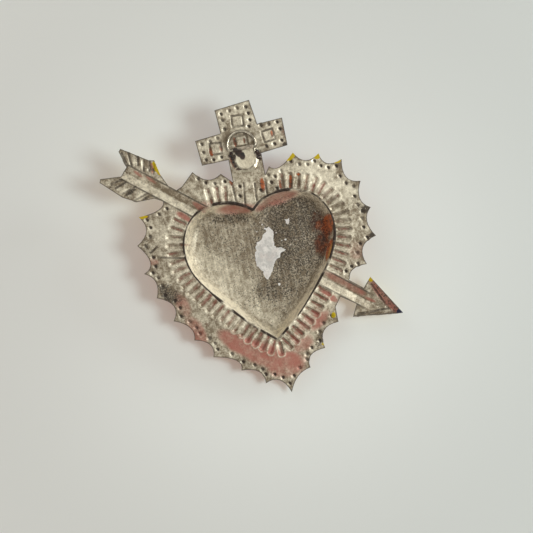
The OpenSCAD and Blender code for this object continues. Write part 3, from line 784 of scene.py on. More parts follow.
def raggedGroup():
    # a soft mask with a grainy, broken edge
    inputs = [("Vector", "NodeSocketVector", None), ("Mask", "NodeSocketFloat", 0),
              ("Grain", "NodeSocketFloat", 900), ("Softness", "NodeSocketFloat", .2)]
    tree, given, result = newGroup("raggedMask", "ShaderNodeTree", inputs, [("Mask", "NodeSocketFloat")])
    grain = noiseAt(tree, given["Vector"], given["Grain"], 3, .65)
    grain = times(tree, minus(tree, grain, .5), 1.1)
    broken = plus(tree, given["Mask"], grain)
    low = minus(tree, .5, given["Softness"])
    high = plus(tree, .5, given["Softness"])
    shown = ramp(tree, given["Mask"], .02, .2)
    tree.links.new(times(tree, ramp(tree, broken, low, high), shown), result[0])
    return tree


def tarnishGroup():
    # fine black specks over a mottled, faintly brushed metal: gives the tone and the specks apart
    inputs = [("Vector", "NodeSocketVector", None), ("Density", "NodeSocketFloat", .3)]
    outputs = [(name, "NodeSocketFloat") for name in ("Tone", "Specks", "Brush", "Height")]
    tree, given, result = newGroup("tarnish", "ShaderNodeTree", inputs, outputs)
    place = given["Vector"]
    broad = noiseAt(tree, place, 140, 4, .6)
    brush = noiseAt(tree, place, 1000, 3, .6, (1, 1, .05), -roll)
    fine = noiseAt(tree, place, 1500, 3, .7)
    specks = noiseAt(tree, place, 1700, 2, .8)
    patches = noiseAt(tree, place, 520, 4, .7)
    tone = plus(tree, times(tree, broad, .3), times(tree, brush, .1))
    mottle = plus(tree, times(tree, patches, .65), times(tree, fine, .35))
    tone = minus(tree, plus(tree, tone, mottle), .2)
    mixed = plus(tree, times(tree, specks, .75), times(tree, patches, .25))
    edge = minus(tree, .63, times(tree, given["Density"], .17))
    height = plus(tree, times(tree, brush, .5), times(tree, fine, .5))
    tree.links.new(tone, result["Tone"])
    tree.links.new(brush, result["Brush"])
    tree.links.new(ramp(tree, mixed, edge, plus(tree, edge, .13)), result["Specks"])
    tree.links.new(height, result["Height"])
    return tree


ragged, tarnish = raggedGroup(), tarnishGroup()


def useGroup(tree, group, inputs):
    made = tree.nodes.new("ShaderNodeGroup")
    made.node_tree = group
    for key, value in inputs.items():
        if isinstance(value, bpy.types.NodeSocket):
            tree.links.new(value, made.inputs[key])
        else:
            made.inputs[key].default_value = value
    return made.outputs


def newMaterial(name):
    # patterns read Object coordinates, in metres
    material = bpy.data.materials.new(name)
    material.use_nodes = True
    tree = material.node_tree
    tree.nodes.clear()
    return material, tree, add(tree, "ShaderNodeTexCoord").outputs["Object"]


def finishMaterial(tree, colour, metallic, roughness, height, distance, strength):
    bump = add(tree, "ShaderNodeBump", {"Height": height, "Distance": distance, "Strength": strength})
    shaded = add(tree, "ShaderNodeBsdfPrincipled", {"Base Color": colour, "Metallic": metallic,
                 "Roughness": roughness, "Normal": bump.outputs[0]})
    add(tree, "ShaderNodeOutputMaterial", {"Surface": shaded.outputs[0]})


def raggedMask(tree, place, mask, grain, softness):
    inputs = {"Vector": place, "Mask": mask, "Grain": grain, "Softness": softness}
    return useGroup(tree, ragged, inputs)["Mask"]


def tarnished(tree, place, density):
    return useGroup(tree, tarnish, {"Vector": place, "Density": density})


# colours of the bare back; groove and redGrooveShade are painted shade in the grooves, and pit is painted
# shade in the punch marks and the darkest of the lines round the heart
backLook = {
    "dull": (.225, .175, .115), "bright": (.90, .82, .645), "speck": (.04, .03, .021),
    "groove": (.16, .12, .085), "redGrooveShade": (.26, .07, .05), "pit": (.03, .018, .012),
    "pink": (.42, .15, .11), "rustDark": (.05, .018, .010), "rustLight": (.52, .105, .012),
    "amber": (.62, .30, .05), "grime": (.10, .075, .052), "edge": (.07, .06, .045),
    "yellow": (.55, .41, .002), "navy": (.006, .007, .03),
}
# how much brighter or duller than plain metal each place is: ridge and grime are wear and dirt, cream and
# dark are partly wear and partly painted light and shade, the heart's wall is painted lighter all round, the
# shaft's bands are painted light and shade, and the groove and punch-mark highlights are painted light
backWear = {
    "cream": .36, "ridge": .3, "wall": .32, "dark": -.18, "onFloor": -.1, "shaftLitBand": .34, "shaftShadedBand": -.15,
    "grime": -.14, "rayHighlight": .2, "pitHighlight": .35,
}


def backMasks(tree, place):
    # what the chasing and the oval layers say about each place on the back, painted light and shade among
    # them
    masks = {name: layerOf(tree, name) for name in (
        "heartDistance", "rimDistance", "ray", "raySide", "stroke", "pit", "dotSide", "dotDistance", "dark",
        "cream", "shaftAcross", "shaftOn")}
    masks["inHeart"] = ramp(tree, masks["heartDistance"], -.0001, .0001)
    masks["onFloor"] = ramp(tree, masks["heartDistance"], .0013, .0034)
    masks["wall"] = times(tree, masks["inHeart"], minus(tree, 1, masks["onFloor"]))
    # painted light: where cream lies on the heart's wall
    masks["polished"] = times(tree, masks["wall"], least(tree, masks["cream"], 1))
    nearDots = ramp(tree, masks["dotDistance"], .0019, .0007)
    nearRim = times(tree, ramp(tree, masks["rimDistance"], .0022, .0003), .8)
    masks["grime"] = times(tree, most(tree, nearDots, nearRim),
                           ramp(tree, noiseAt(tree, place, 190, 4, .7), .42, .66))
    # the lips of the grooves stand a little above the flat
    ridge = plus(tree, minus(tree, flatTin, least(tree, masks["ray"], flatTin)),
                 minus(tree, flatTin, least(tree, masks["pit"], flatTin)))
    masks["ridge"] = ramp(tree, ridge, .02, .17)
    # painted highlights on the walls of grooves and punch marks that face the light
    masks["rayHighlight"] = times(tree, ramp(tree, masks["ray"], .2, .5), ramp(tree, masks["raySide"], -.06, -.22))
    masks["pitHighlight"] = times(tree, ramp(tree, masks["dotDistance"], .0013, .0008),
                            ramp(tree, masks["dotSide"], -.08, -.26))
    # painted light on the shaft's lower wall and painted shade on its upper wall
    across = masks["shaftAcross"]
    low = times(tree, ramp(tree, across, .06, -.1), ramp(tree, across, -1, -.85))
    high = times(tree, ramp(tree, across, -.04, .12), ramp(tree, across, 1, .88))
    masks["shaftLitBand"] = times(tree, masks["shaftOn"], low)
    masks["shaftShadedBand"] = times(tree, masks["shaftOn"], high)
    return masks


def backTarnish(tree, place, masks):
    density = plus(tree, times(tree, masks["dark"], .75), times(tree, masks["onFloor"], .35))
    density = plus(tree, density, plus(tree, .25, times(tree, masks["inHeart"], .12)))
    density = plus(tree, density, times(tree, masks["grime"], .4))
    density = minus(tree, density, times(tree, masks["cream"], .3))
    return tarnished(tree, place, density)


def backLevel(tree, place, masks, worn):
    # 0 where the metal is dull or in painted shade and 1 where it is worn bright or painted lit
    contrast = minus(tree, 3.5, times(tree, masks["onFloor"], 1.1))
    level = times(tree, minus(tree, worn["Tone"], .5), contrast)
    level = plus(tree, level, plus(tree, .27, times(tree, masks["inHeart"], .06)))
    brushed = times(tree, minus(tree, worn["Brush"], .5), .75)
    level = plus(tree, level, times(tree, masks["onFloor"], brushed))
    for name, share in backWear.items():
        level = plus(tree, level, times(tree, masks[name], share))
    # even the brightest places, worn or painted lit, keep some of the tone's grain
    grain = ramp(tree, noiseAt(tree, place, 520, 3, .7), .36, .6)
    top = plus(tree, .62, times(tree, grain, .42))
    top = plus(tree, top, times(tree, masks["polished"], .06))
    return most(tree, least(tree, level, top), 0)


def tintGrooves(tree, place, masks, colour):
    # red paint that has crept in from the front, and painted shade on the grooves' floors and on their walls
    # turned from the light, with a dark painted-shade line along those walls
    pink = raggedMask(tree, place, layerOf(tree, "pink"), 260, .48)
    masks["redPaint"] = times(tree, pink, ramp(tree, noiseAt(tree, place, 150, 4, .65), .3, .62, .45, .92))
    # the lips stand proud and are rubbed clean of it
    clean = minus(tree, 1, times(tree, masks["ridge"], .75))
    masks["redPaint"] = times(tree, masks["redPaint"], clean)
    colour = blend(tree, masks["redPaint"], colour, backLook["pink"])
    shadeAmount = ramp(tree, noiseAt(tree, place, 420, 3, .7), .34, .6)
    shadeAmount = plus(tree, .18, times(tree, shadeAmount, .75))
    shadeAmount = plus(tree, times(tree, pink, .4), shadeAmount, clamp=True)
    shadedFloor = times(tree, ramp(tree, masks["ray"], .4, 1), ramp(tree, masks["raySide"], -.2, .1))
    floorTone = ramp(tree, noiseAt(tree, place, 75, 2), .36, .5)
    floorTone = blend(tree, floorTone, backLook["groove"], backLook["redGrooveShade"])
    colour = blend(tree, times(tree, shadedFloor, shadeAmount), colour, floorTone)
    grooveEdgeShade = times(tree, ramp(tree, masks["ray"], .23, .36), ramp(tree, masks["ray"], .85, .5))
    shaded = times(tree, ramp(tree, masks["raySide"], .16, .34), .6)
    return blend(tree, times(tree, grooveEdgeShade, shaded), colour, backLook["speck"])


def darkenStrokes(tree, place, masks, colour):
    # chisel strokes, and the creases along both sides of the shaft
    broken = ramp(tree, noiseAt(tree, place, 330, 3, .6), .34, .6, .4, 1)
    masks["strokeDark"] = times(tree, ramp(tree, masks["stroke"], .4, .85), broken)
    colour = blend(tree, times(tree, masks["strokeDark"], .74), colour, backLook["speck"])
    fromSide = minus(tree, maths(tree, "ABSOLUTE", masks["shaftAcross"]), 1)
    crease = ramp(tree, maths(tree, "ABSOLUTE", fromSide), .15, .05)
    crease = times(tree, times(tree, masks["shaftOn"], crease),
                   ramp(tree, noiseAt(tree, place, 260, 3, .6), .3, .56, .2, .85))
    return blend(tree, crease, colour, backLook["edge"])


def rustPlaces(tree, place, masks, worn, colour):
    masks["rust"] = raggedMask(tree, place, layerOf(tree, "rust"), 900, .42)
    level = times(tree, layerOf(tree, "rust"), .16)
    level = plus(tree, noiseAt(tree, place, 420, 4, .7), level)
    tone = blend(tree, ramp(tree, level, .5, .78), backLook["rustDark"], backLook["rustLight"])
    tone = blend(tree, times(tree, layerOf(tree, "amber"), masks["inHeart"]), tone, backLook["amber"])
    colour = blend(tree, times(tree, masks["rust"], .88), colour, tone)
    speckled = times(tree, times(tree, masks["rust"], worn["Specks"]), .8)
    return blend(tree, speckled, colour, backLook["rustDark"])


def darkenEdges(tree, place, masks, colour):
    # painted shade inside the punch marks, on their walls turned from the light, and broken lines round the
    # heart and the rim
    sunk = times(tree, ramp(tree, masks["pit"], .36, .66), ramp(tree, masks["dotSide"], -.26, -.08))
    masks["sunk"] = times(tree, sunk, ramp(tree, noiseAt(tree, place, 110, 1), .34, .56, .6, 1))
    colour = blend(tree, times(tree, masks["sunk"], .95), colour, backLook["pit"])
    broken = noiseAt(tree, place, 120, 3, .6)
    swell = times(tree, ramp(tree, noiseAt(tree, place, 45, 2), .4, .62), .00035)
    away = maths(tree, "ABSOLUTE", plus(tree, masks["heartDistance"], .0001))
    heartEdge = ramp(tree, minus(tree, away, swell), .00042, .00016)
    heartEdge = times(tree, heartEdge, ramp(tree, broken, .34, .48))
    rimEdge = ramp(tree, masks["rimDistance"], .00042, .00018)
    rimEdge = times(tree, rimEdge, ramp(tree, broken, .2, .5, .55, .9))
    masks["lines"] = most(tree, heartEdge, rimEdge)
    return blend(tree, masks["lines"], colour, blend(tree, heartEdge, backLook["edge"], backLook["pit"]))


def backMaterial():
    material, tree, place = newMaterial("tarnishedTin")
    masks = backMasks(tree, place)
    worn = backTarnish(tree, place, masks)
    level = backLevel(tree, place, masks, worn)
    colour = blend(tree, level, backLook["dull"], backLook["bright"])
    colour = tintGrooves(tree, place, masks, colour)
    colour = blend(tree, times(tree, masks["grime"], .36), colour, backLook["grime"])
    colour = blend(tree, times(tree, worn["Specks"], .92), colour, backLook["speck"])
    colour = darkenStrokes(tree, place, masks, colour)
    colour = rustPlaces(tree, place, masks, worn, colour)
    colour = darkenEdges(tree, place, masks, colour)
    # front paint that has run over the edge
    painted = raggedMask(tree, place, layerOf(tree, "yellow"), 800, .06)
    colour = blend(tree, painted, colour, backLook["yellow"])
    inked = raggedMask(tree, place, layerOf(tree, "navy"), 800, .08)
    colour = blend(tree, inked, colour, backLook["navy"])
    # where something covers the metal, or shade is painted in the punch marks, it shines less
    covered = most(tree, masks["rust"], times(tree, masks["redPaint"], .5))
    for mask in (painted, inked, worn["Specks"], masks["lines"], masks["sunk"], masks["strokeDark"]):
        covered = most(tree, covered, mask)
    metallic = minus(tree, .5, times(tree, masks["polished"], .15))
    metallic = times(tree, minus(tree, 1, covered, clamp=True), metallic)
    roughness = most(tree, ramp(tree, level, 0, 1, .56, .43), times(tree, covered, .75))
    roughness = plus(tree, roughness, times(tree, masks["wall"], .2))
    height = minus(tree, worn["Height"], times(tree, worn["Specks"], .5))
    finishMaterial(tree, colour, metallic, roughness, height, .00006, .55)
    return material


# lacquers over bright tin: red heart, rose border with yellow rays and edge, yellow arrow with a dark point,
# blue cross with yellow squares
frontLook = {
    "heart": (.36, .008, .012), "yellow": (.62, .42, .03), "border": (.36, .075, .05),
    "cross": (.012, .03, .14), "grime": (.02, .016, .03), "bare": (.60, .56, .45),
}


def frontMaterial():
    material, tree, place = newMaterial("paintedFront")
    look = frontLook
    heartDistance, rimDistance = layerOf(tree, "heartDistance"), layerOf(tree, "rimDistance")
    ray, zone = layerOf(tree, "ray"), layerOf(tree, "zone")
    isArrow = times(tree, maths(tree, "GREATER_THAN", zone, .5), maths(tree, "LESS_THAN", zone, 1.5))
    isCross = maths(tree, "GREATER_THAN", zone, 1.5)
    worn = tarnished(tree, place, .05)
    colour = blend(tree, ramp(tree, ray, .3, .6), look["border"], look["yellow"])
    colour = blend(tree, ramp(tree, rimDistance, .0012, .0009), colour, look["yellow"])
    colour = blend(tree, isArrow, colour, look["yellow"])
    colour = blend(tree, layerOf(tree, "navy"), colour, look["cross"])
    colour = blend(tree, isCross, colour, look["cross"])
    squares = times(tree, isCross, ramp(tree, layerOf(tree, "stroke"), .3, .6))
    colour = blend(tree, squares, colour, look["yellow"])
    colour = blend(tree, ramp(tree, heartDistance, -.00005, .00005), colour, look["heart"])
    tone = ramp(tree, worn["Tone"], .3, .7, .72, 1.15)
    colour = scaled(tree, colour, tone)
    # the paint is chipped, most of all where it stands proud
    raised = most(tree, ramp(tree, ray, .8, 1), ramp(tree, layerOf(tree, "pit"), .6, 1))
    chip = plus(tree, noiseAt(tree, place, 260, 5, .7), times(tree, raised, .12))
    chipped = ramp(tree, chip, .68, .7)
    colour = blend(tree, chipped, colour, look["bare"])
    grime = ramp(tree, maths(tree, "ABSOLUTE", heartDistance), .0006, .0001)
    colour = blend(tree, times(tree, grime, .7), colour, look["grime"])
    metallic = ramp(tree, chipped, 0, 1, .35, .85)
    roughness = ramp(tree, worn["Tone"], .3, .7, .38, .26)
    height = minus(tree, worn["Height"], chipped)
    finishMaterial(tree, colour, metallic, roughness, height, .00005, .4)
    return material


cutLook = {"dull": (.10, .085, .065), "bright": (.38, .34, .27), "speck": (.03, .025, .02)}


def cutMaterial():
    material, tree, place = newMaterial("cutEdge")
    worn = tarnished(tree, place, .5)
    colour = blend(tree, worn["Tone"], cutLook["dull"], cutLook["bright"])
    colour = blend(tree, worn["Specks"], colour, cutLook["speck"])
    finishMaterial(tree, colour, .7, .5, worn["Height"], .00004, .4)
    return material


def markZones(obj):
    # 1 on the arrow, 2 on the cross and 0 elsewhere, for each face
    flat = flatPlaces(obj.data.polygons, "center")
    zone = np.zeros(len(flat))
    for outline in outlines[2:]:
        zone[inside(flat, outline)] = 1
    zone[inside(flat, outlines[1])] = 2
    store(obj, "zone", zone, "FACE")


def makeSheet():
    blank = blankSheet()
    guides = {
        "Rays": guideLines("rayLines", rayLines), "Lines": guideLines("chasedLines", chasedLines),
        "Shaft": guideLines("shaftLines", shaftLines), "Heart": guideLines("heartLines", closed(heartLine)),
        "Rim": guideLines("rimLines", boundaryLines(blank)),
        "Dots": makeObject("dotPoints", [(x * mm, backY, z * mm) for x, z in dotPoints]),
    }
    runTree(blank, chaseTree(), dict(guides, **{
        "Ray Width": rays["width"] * mm, "Ray Depth": rays["depth"] * mm,
        "Dot Width": dots["width"] * mm, "Dot Depth": dots["depth"] * mm,
        "Line Width": chased["width"] * mm, "Line Depth": chased["depth"] * mm,
        "Shaft Width": arrow["shaftWidth"] * mm, "Shaft Depth": sheet["shaftDepth"] * mm,
        "Wall Width": sheet["wallWidth"] * mm, "Dome Depth": domeDepth,
        "Warp": sheet["warp"] * mm, "Hammer": sheet["hammer"] * mm, "Light Side": lightSide}))
    shell = blank.modifiers.new("thickness", "SOLIDIFY")
    shell.thickness = sheet["thickness"] * mm
    shell.offset = -1
    shell.material_offset, shell.material_offset_rim = 1, 2
    for material in (backMaterial(), frontMaterial(), cutMaterial()):
        blank.data.materials.append(material)
    bake(blank, 50)
    paintOvals(blank)
    markZones(blank)
    for guide in guides.values():
        bpy.data.objects.remove(guide)
    return blank


tinSheet = makeSheet()
print("sheet triangles:", sum(len(p.vertices) - 2 for p in tinSheet.data.polygons))
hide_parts("tin_sheet")
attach(tinSheet, "ornament")

# the hanger: a ring in a rolled tongue, on a bed of solder
ring = {"diameter": 1.1, "outer": 12, "drop": 1.2, "bend": .8, "sides": 20, "slack": .03, "dent": .035,
        "dentSize": 1.6}
tongue = {"x": .3, "half": 4.15, "barrelHalf": 4, "drop": 1.2, "length": 8.4, "plateY": .795,
          "thickness": .35, "wrap": 235, "dent": .07, "barrelDentSize": 1.1, "plateDentSize": 2.4,
          "plateShare": .35, "edgeRound": .05, "slack": .04}
solderBed = {"inner": -.3, "outer": 1.1, "top": .74, "edge": 1.2, "foot": 1.24, "hollow": 1.6, "lump": .16,
             "contact": .45, "spill": 1.02, "barrelGap": .7}


def wave(x, y, z, size, seed=0):
    return noise.noise(Vector((x / size + seed * 7.3, y / size + seed * 3.1, z / size)))


def gridFaces(rows, columns, wrapRows=False, wrapColumns=False):
    made = []
    for i in range(rows if wrapRows else rows - 1):
        for j in range(columns if wrapColumns else columns - 1):
            k, l = (i + 1) % rows, (j + 1) % columns
            made.append([i * columns + j, i * columns + l, k * columns + l, k * columns + j])
    return made


def ringPath():
    # a round loop, closed by a straight run of wire with a bend at each end
    radius = (ring["outer"] - ring["diameter"]) / 2
    bend, drop = ring["bend"], ring["drop"]
    bendX = math.sqrt((radius - bend) ** 2 - (bend - drop) ** 2)
    meet = math.degrees(math.atan2(bend - drop, bendX))
    path = [[x, -drop] for x in np.linspace(-bendX, bendX, 40)[:-1]]
    arcs = ((bendX, -90, meet, bend, bend - drop, 10), (0, meet, 180 - meet, radius, 0, 110),
            (-bendX, 180 - meet, 270, bend, bend - drop, 10))
    for centreX, first, last, r, centreZ, count in arcs:
        for a in np.radians(np.linspace(first, last, count + 1)[:-1]):
            path.append([centreX + r * math.cos(a), centreZ + r * math.sin(a)])
    return np.array(path)


def makeRing(material):
    path = ringPath()
    ahead = np.roll(path, -1, axis=0) - np.roll(path, 1, axis=0)
    ahead /= np.linalg.norm(ahead, axis=1)[:, None]
    wire, sides = ring["diameter"] / 2, ring["sides"]
    verts = []
    for (x, z), (tx, tz) in zip(path, ahead):
        for k in range(sides):
            a = 2 * math.pi * k / sides
            # the dents stay inside the wire's own size
            r = wire * (1 - ring["slack"]) + ring["dent"] * wave(x, z, 2 * math.cos(a), ring["dentSize"], 2)
            r = min(r, wire)
            out, side = r * math.cos(a), r * math.sin(a)
            verts.append(((x + out * tz) * mm, side * mm, (z - out * tx) * mm))
    obj = makeObject("ringWire", verts, (), gridFaces(len(path), sides, True, True))
    store(obj, "crown", np.tile(np.abs(np.sin(2 * np.pi * np.arange(sides) / sides)), len(path)))
    obj.data.shade_smooth()
    obj.data.materials.append(material)
    return obj


def tongueProfile():
    # the strip's middle line from its round end up the plate and over the wire, as (y, z, half width)
    radius, drop = tongue["plateY"], tongue["drop"]
    roundZ = -drop - tongue["length"] + tongue["half"]
    made = []
    for a in np.radians(np.linspace(2, 90, 16)):
        made.append((radius, roundZ - tongue["half"] * math.cos(a), tongue["half"] * math.sin(a)))
    made += [(radius, z, tongue["half"]) for z in np.linspace(roundZ, -drop, 12)[1:-1]]
    for a in np.radians(np.linspace(0, tongue["wrap"], 34)):
        made.append((radius * math.cos(a), -drop + radius * math.sin(a), tongue["barrelHalf"]))
    return made


def makeTongue(material):
    columns, drop, plateY = 33, tongue["drop"], tongue["plateY"]
    verts = []
    rows = tongueProfile()
    for y, z, half in rows:
        for u in np.linspace(-1, 1, columns):
            x = tongue["x"] + u * half
            if y < plateY - .01:
                # dents in the barrel go in towards the wire and out
                scale = 1 + tongue["dent"] * wave(x, y, z, tongue["barrelDentSize"], 5) / plateY
                verts.append((x * mm, y * scale * mm, (-drop + (z + drop) * scale) * mm))
            else:
                push = tongue["dent"] * wave(x, y, z, tongue["plateDentSize"], 5) * tongue["plateShare"]
                verts.append((x * mm, (y + push) * mm, z * mm))
    obj = makeObject("tongue", verts, (), gridFaces(len(rows), columns))
    flat = np.array(verts)[:, [0, 2]] / mm - [tongue["x"], tongue["half"] - tongue["length"] - drop]
    reach = np.where(flat[:, 1] < 0, np.hypot(*flat.T), np.abs(flat[:, 0]))
    store(obj, "toEdge", tongue["half"] - reach)
    shell = obj.modifiers.new("thickness", "SOLIDIFY")
    shell.thickness, shell.offset = (tongue["thickness"] - tongue["slack"]) * mm, 0
    soft = obj.modifiers.new("edges", "BEVEL")
    soft.width, soft.segments, soft.limit_method = tongue["edgeRound"] * mm, 2, "ANGLE"
    obj.data.materials.append(material)
    return bake(obj, 50)


def tongueOutline(count):
    # down the right side, round the end and up the left side, as (point, outward)
    half, x = tongue["half"], tongue["x"]
    roundZ = -tongue["drop"] - tongue["length"] + half
    top = -tongue["drop"] - solderBed["barrelGap"]
    made = [((x + half, z), (1, 0)) for z in np.linspace(top, roundZ, 12)[:-1]]
    for a in np.radians(np.linspace(0, 180, count)):
        out = (math.cos(a), -math.sin(a))
        made.append(((x + half * out[0], roundZ + half * out[1]), out))
    return made + [((x - half, z), (-1, 0)) for z in np.linspace(roundZ, top, 12)[1:]]


def makeSolder(material):
    inner, outer, foot = solderBed["inner"], solderBed["outer"], solderBed["foot"]
    section = [(outer, foot)]
    for t in np.linspace(0, 1, 9):
        rise = (solderBed["top"] - solderBed["edge"]) * t ** solderBed["hollow"]
        section.append((outer + (inner - outer) * t, solderBed["edge"] + rise))
    section.append((inner, foot))
    rows, n = tongueOutline(60), len(section)
    verts = []
    for (x, z), (ox, oz) in rows:
        swell = 1 + solderBed["lump"] * 2 * wave(x, z, 0, 2.2, 9)
        for reach, y in section:
            r = min(reach * (swell if reach > 0 else 1), outer * solderBed["spill"])
            lumpy = 0 < reach < 1 and y < foot
            lump = solderBed["lump"] * wave(x + reach, z, 3, 1.3, 4) if lumpy else 0
            verts.append(((x + ox * r) * mm, (min(y, foot) + lump) * mm, (z + oz * r) * mm))
    faces = gridFaces(len(rows), n, False, True)
    faces += [list(range(n))[::-1], [len(verts) - n + i for i in range(n)]]
    obj = makeObject("solderBed", verts, (), faces)
    # 1 where the solder meets the tongue
    contact = [min(1, max(0, 1 - (reach - inner) / solderBed["contact"])) for reach, y in section]
    store(obj, "contact", np.tile(contact, len(rows)))
    obj.data.shade_smooth()
    obj.data.materials.append(material)
    return obj


# lumps of burnt flux and solder, each of balls [x, y in the reference view, radius in millimetres]
flux = {
    "left": [[231.2, 152.6, .85], [230.2, 156, .8], [232.6, 158.8, .75], [233.4, 162.4, .5],
             [231.8, 150.2, .5], [235.6, 166, .4]],
    "right": [[257.2, 151.5, .85], [259.3, 154.4, .95], [258.2, 157.8, .8], [260.6, 158.6, .55],
              [256, 149.6, .5]],
    "middleY": 1.15, "footY": 1.3, "flatness": .8, "core": .86, "lumps": .3, "lumpSize": .5,
}


def makeFlux(name, balls, material, seed):
    verts, faces = [], []
    rings, sides = 12, 18
    for px, py, radius in balls:
        x, z = seen(px, py)
        first = len(verts)
        for i in range(rings + 1):
            tilt = math.pi * i / rings
            for k in range(sides):
                turn = 2 * math.pi * k / sides
                d = (math.sin(tilt) * math.cos(turn), -math.cos(tilt) * flux["flatness"],
                     math.sin(tilt) * math.sin(turn))
                lump = wave(x + d[0], d[1], z + d[2], flux["lumpSize"], seed)
                r = radius * (flux["core"] + flux["lumps"] * lump)
                y = min(flux["footY"], flux["middleY"] + d[1] * r)
                verts.append(((x + d[0] * r) * mm, y * mm, (z + d[2] * r) * mm))
        faces += [[first + i for i in f[::-1]] for f in gridFaces(rings + 1, sides, False, True)]
    obj = makeObject(name, verts, (), faces)
    obj.data.shade_smooth()
    obj.data.materials.append(material)
    return obj


wireLook = {"wireFlankShade": (.028, .018, .012), "bare": (.6, .53, .42), "speck": (.03, .02, .014)}


def wireMaterial():
    material, tree, place = newMaterial("wire")
    worn = tarnished(tree, place, .15)
    tone = ramp(tree, worn["Tone"], .35, .62)
    # the wire's flanks are darkened as painted shade, and its two faces are worn bright
    crown = ramp(tree, layerOf(tree, "crown"), .5, .9)
    bare = times(tree, crown, ramp(tree, tone, 0, 1, .6, 1))
    colour = blend(tree, bare, wireLook["wireFlankShade"], wireLook["bare"])
    colour = blend(tree, times(tree, worn["Specks"], .8), colour, wireLook["speck"])
    finishMaterial(tree, colour, .95, ramp(tree, tone, 0, 1, .26, .16), worn["Height"], .00003, .3)
    return material


def burntMask(tree, place, spots, grain, softness):
    # dark patches of burnt flux at given places, which on the solder bed's lower left also stand for painted
    # shade, each [x, y in the reference view, half length, half width in millimetres]
    total = None
    for px, py, half, width in spots:
        x, z = seen(px, py)
        moved = add(tree, "ShaderNodeMapping", {"Vector": place, "Location": (-x / half, 0, -z / width),
                    "Scale": (1 / half / mm, 0, 1 / width / mm)}).outputs[0]
        away = add(tree, "ShaderNodeVectorMath", {0: moved}, operation="LENGTH").outputs["Value"]
        one = ramp(tree, away, 1.5, .5)
        total = one if total is None else most(tree, total, one)
    return raggedMask(tree, place, total, grain, softness)


tongueLook = {
    "dull": (.50, .42, .30), "bright": (.90, .82, .64), "barrel": (.25, .18, .15),
    "pitted": (.06, .045, .035), "burnt": (.012, .008, .006), "burntLight": (.045, .022, .014),
    "edge": (.06, .045, .03), "speck": (.04, .03, .022),
    "burns": [[238.6, 152.6, 1.5, 1.1], [242.5, 156.6, 1.1, 1.3], [235.4, 150.6, 1.1, .9],
              [240.6, 154.5, 1.6, 1], [257, 152, 1, 1.4], [234.6, 157, .6, 1]],
}


def tongueMaterial():
    material, tree, place = newMaterial("tongueTin")
    look = tongueLook
    worn = tarnished(tree, place, .12)
    coarse = noiseAt(tree, place, 900, 3, .6)
    colour = blend(tree, ramp(tree, worn["Tone"], .3, .7), look["dull"], look["bright"])
    # the rolled barrel stands nearest the viewer
    height = add(tree, "ShaderNodeSeparateXYZ", {0: place}).outputs[1]
    rolled = ramp(tree, height, .00045, .0002)
    pitted = times(tree, rolled, ramp(tree, coarse, .42, .58))
    colour = blend(tree, times(tree, rolled, .45), colour, look["barrel"])
    colour = blend(tree, times(tree, pitted, .6), colour, look["pitted"])
    burnt = burntMask(tree, place, look["burns"], 1100, .3)
    scorched = blend(tree, ramp(tree, coarse, .4, .62), look["burnt"], look["burntLight"])
    colour = blend(tree, burnt, colour, scorched)
    outline = ramp(tree, layerOf(tree, "toEdge"), .75, .4)
    outline = times(tree, outline, minus(tree, 1, rolled))
    outline = times(tree, outline, ramp(tree, noiseAt(tree, place, 420, 3), .36, .6, .15, .8))
    colour = blend(tree, outline, colour, look["edge"])
    colour = blend(tree, times(tree, worn["Specks"], .7), colour, look["speck"])
    metallic = ramp(tree, burnt, 0, 1, .6, 0)
    finishMaterial(tree, colour, metallic, .45, plus(tree, worn["Height"], burnt), .00008, .6)
    return material


solderLook = {
    "dull": (.32, .26, .18), "bright": (.74, .67, .52), "contact": (.07, .05, .035),
    "burnt": (.045, .02, .012),
    # burns: burnt flux, and along the bed's lower left also painted shade where the bed turns from the light
    "burns": [[232, 157, 1.2, 2.4], [235, 164.5, 1.2, 1.4], [239.5, 169, 1.8, .6], [258.5, 154, 1.3, 1.8]],
}


def solderMaterial():
    material, tree, place = newMaterial("solder")
    look = solderLook
    worn = tarnished(tree, place, .1)
    colour = blend(tree, ramp(tree, worn["Tone"], .3, .7), look["dull"], look["bright"])
    burnt = burntMask(tree, place, look["burns"], 600, .2)
    patchy = ramp(tree, noiseAt(tree, place, 420, 3), .36, .6, .2, .75)
    contact = times(tree, layerOf(tree, "contact"), patchy)
    colour = blend(tree, contact, colour, look["contact"])
    colour = blend(tree, times(tree, burnt, .9), colour, look["burnt"])
    finishMaterial(tree, colour, ramp(tree, burnt, 0, 1, .85, .1), .3, worn["Height"], .00005, .4)
    return material


fluxLook = {"dark": (.012, .008, .007), "light": (.09, .04, .022)}


def fluxMaterial():
    material, tree, place = newMaterial("burntFlux")
    grain = noiseAt(tree, place, 900, 4, .65)
    colour = blend(tree, ramp(tree, grain, .4, .7), fluxLook["dark"], fluxLook["light"])
    finishMaterial(tree, colour, 0, .42, grain, .0001, .7)
    return material


def placeHanger():
    burnt = fluxMaterial()
    made = [(makeRing(wireMaterial()), "hanger_ring", "wire", "ring"),
            (makeTongue(tongueMaterial()), "hanger_tab", "tongue_tin", "ornament"),
            (makeSolder(solderMaterial()), "tab_solder", "solder", "ornament"),
            (makeFlux("fluxLeft", flux["left"], burnt, 3), "solder_bead_left", "flux", "ornament"),
            (makeFlux("fluxRight", flux["right"], burnt, 6), "solder_bead_right", "flux", "ornament")]
    for obj, node, slot, body in made:
        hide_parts(node)
        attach(obj, body)


placeHanger()
print("hanger done")

# the scrap of torn paper and its flecks, on the floor of the heart
paper = {"thickness": .17, "lift": .03, "spacing": .45, "edgeRoom": .12, "relief": .05, "seed": 8}
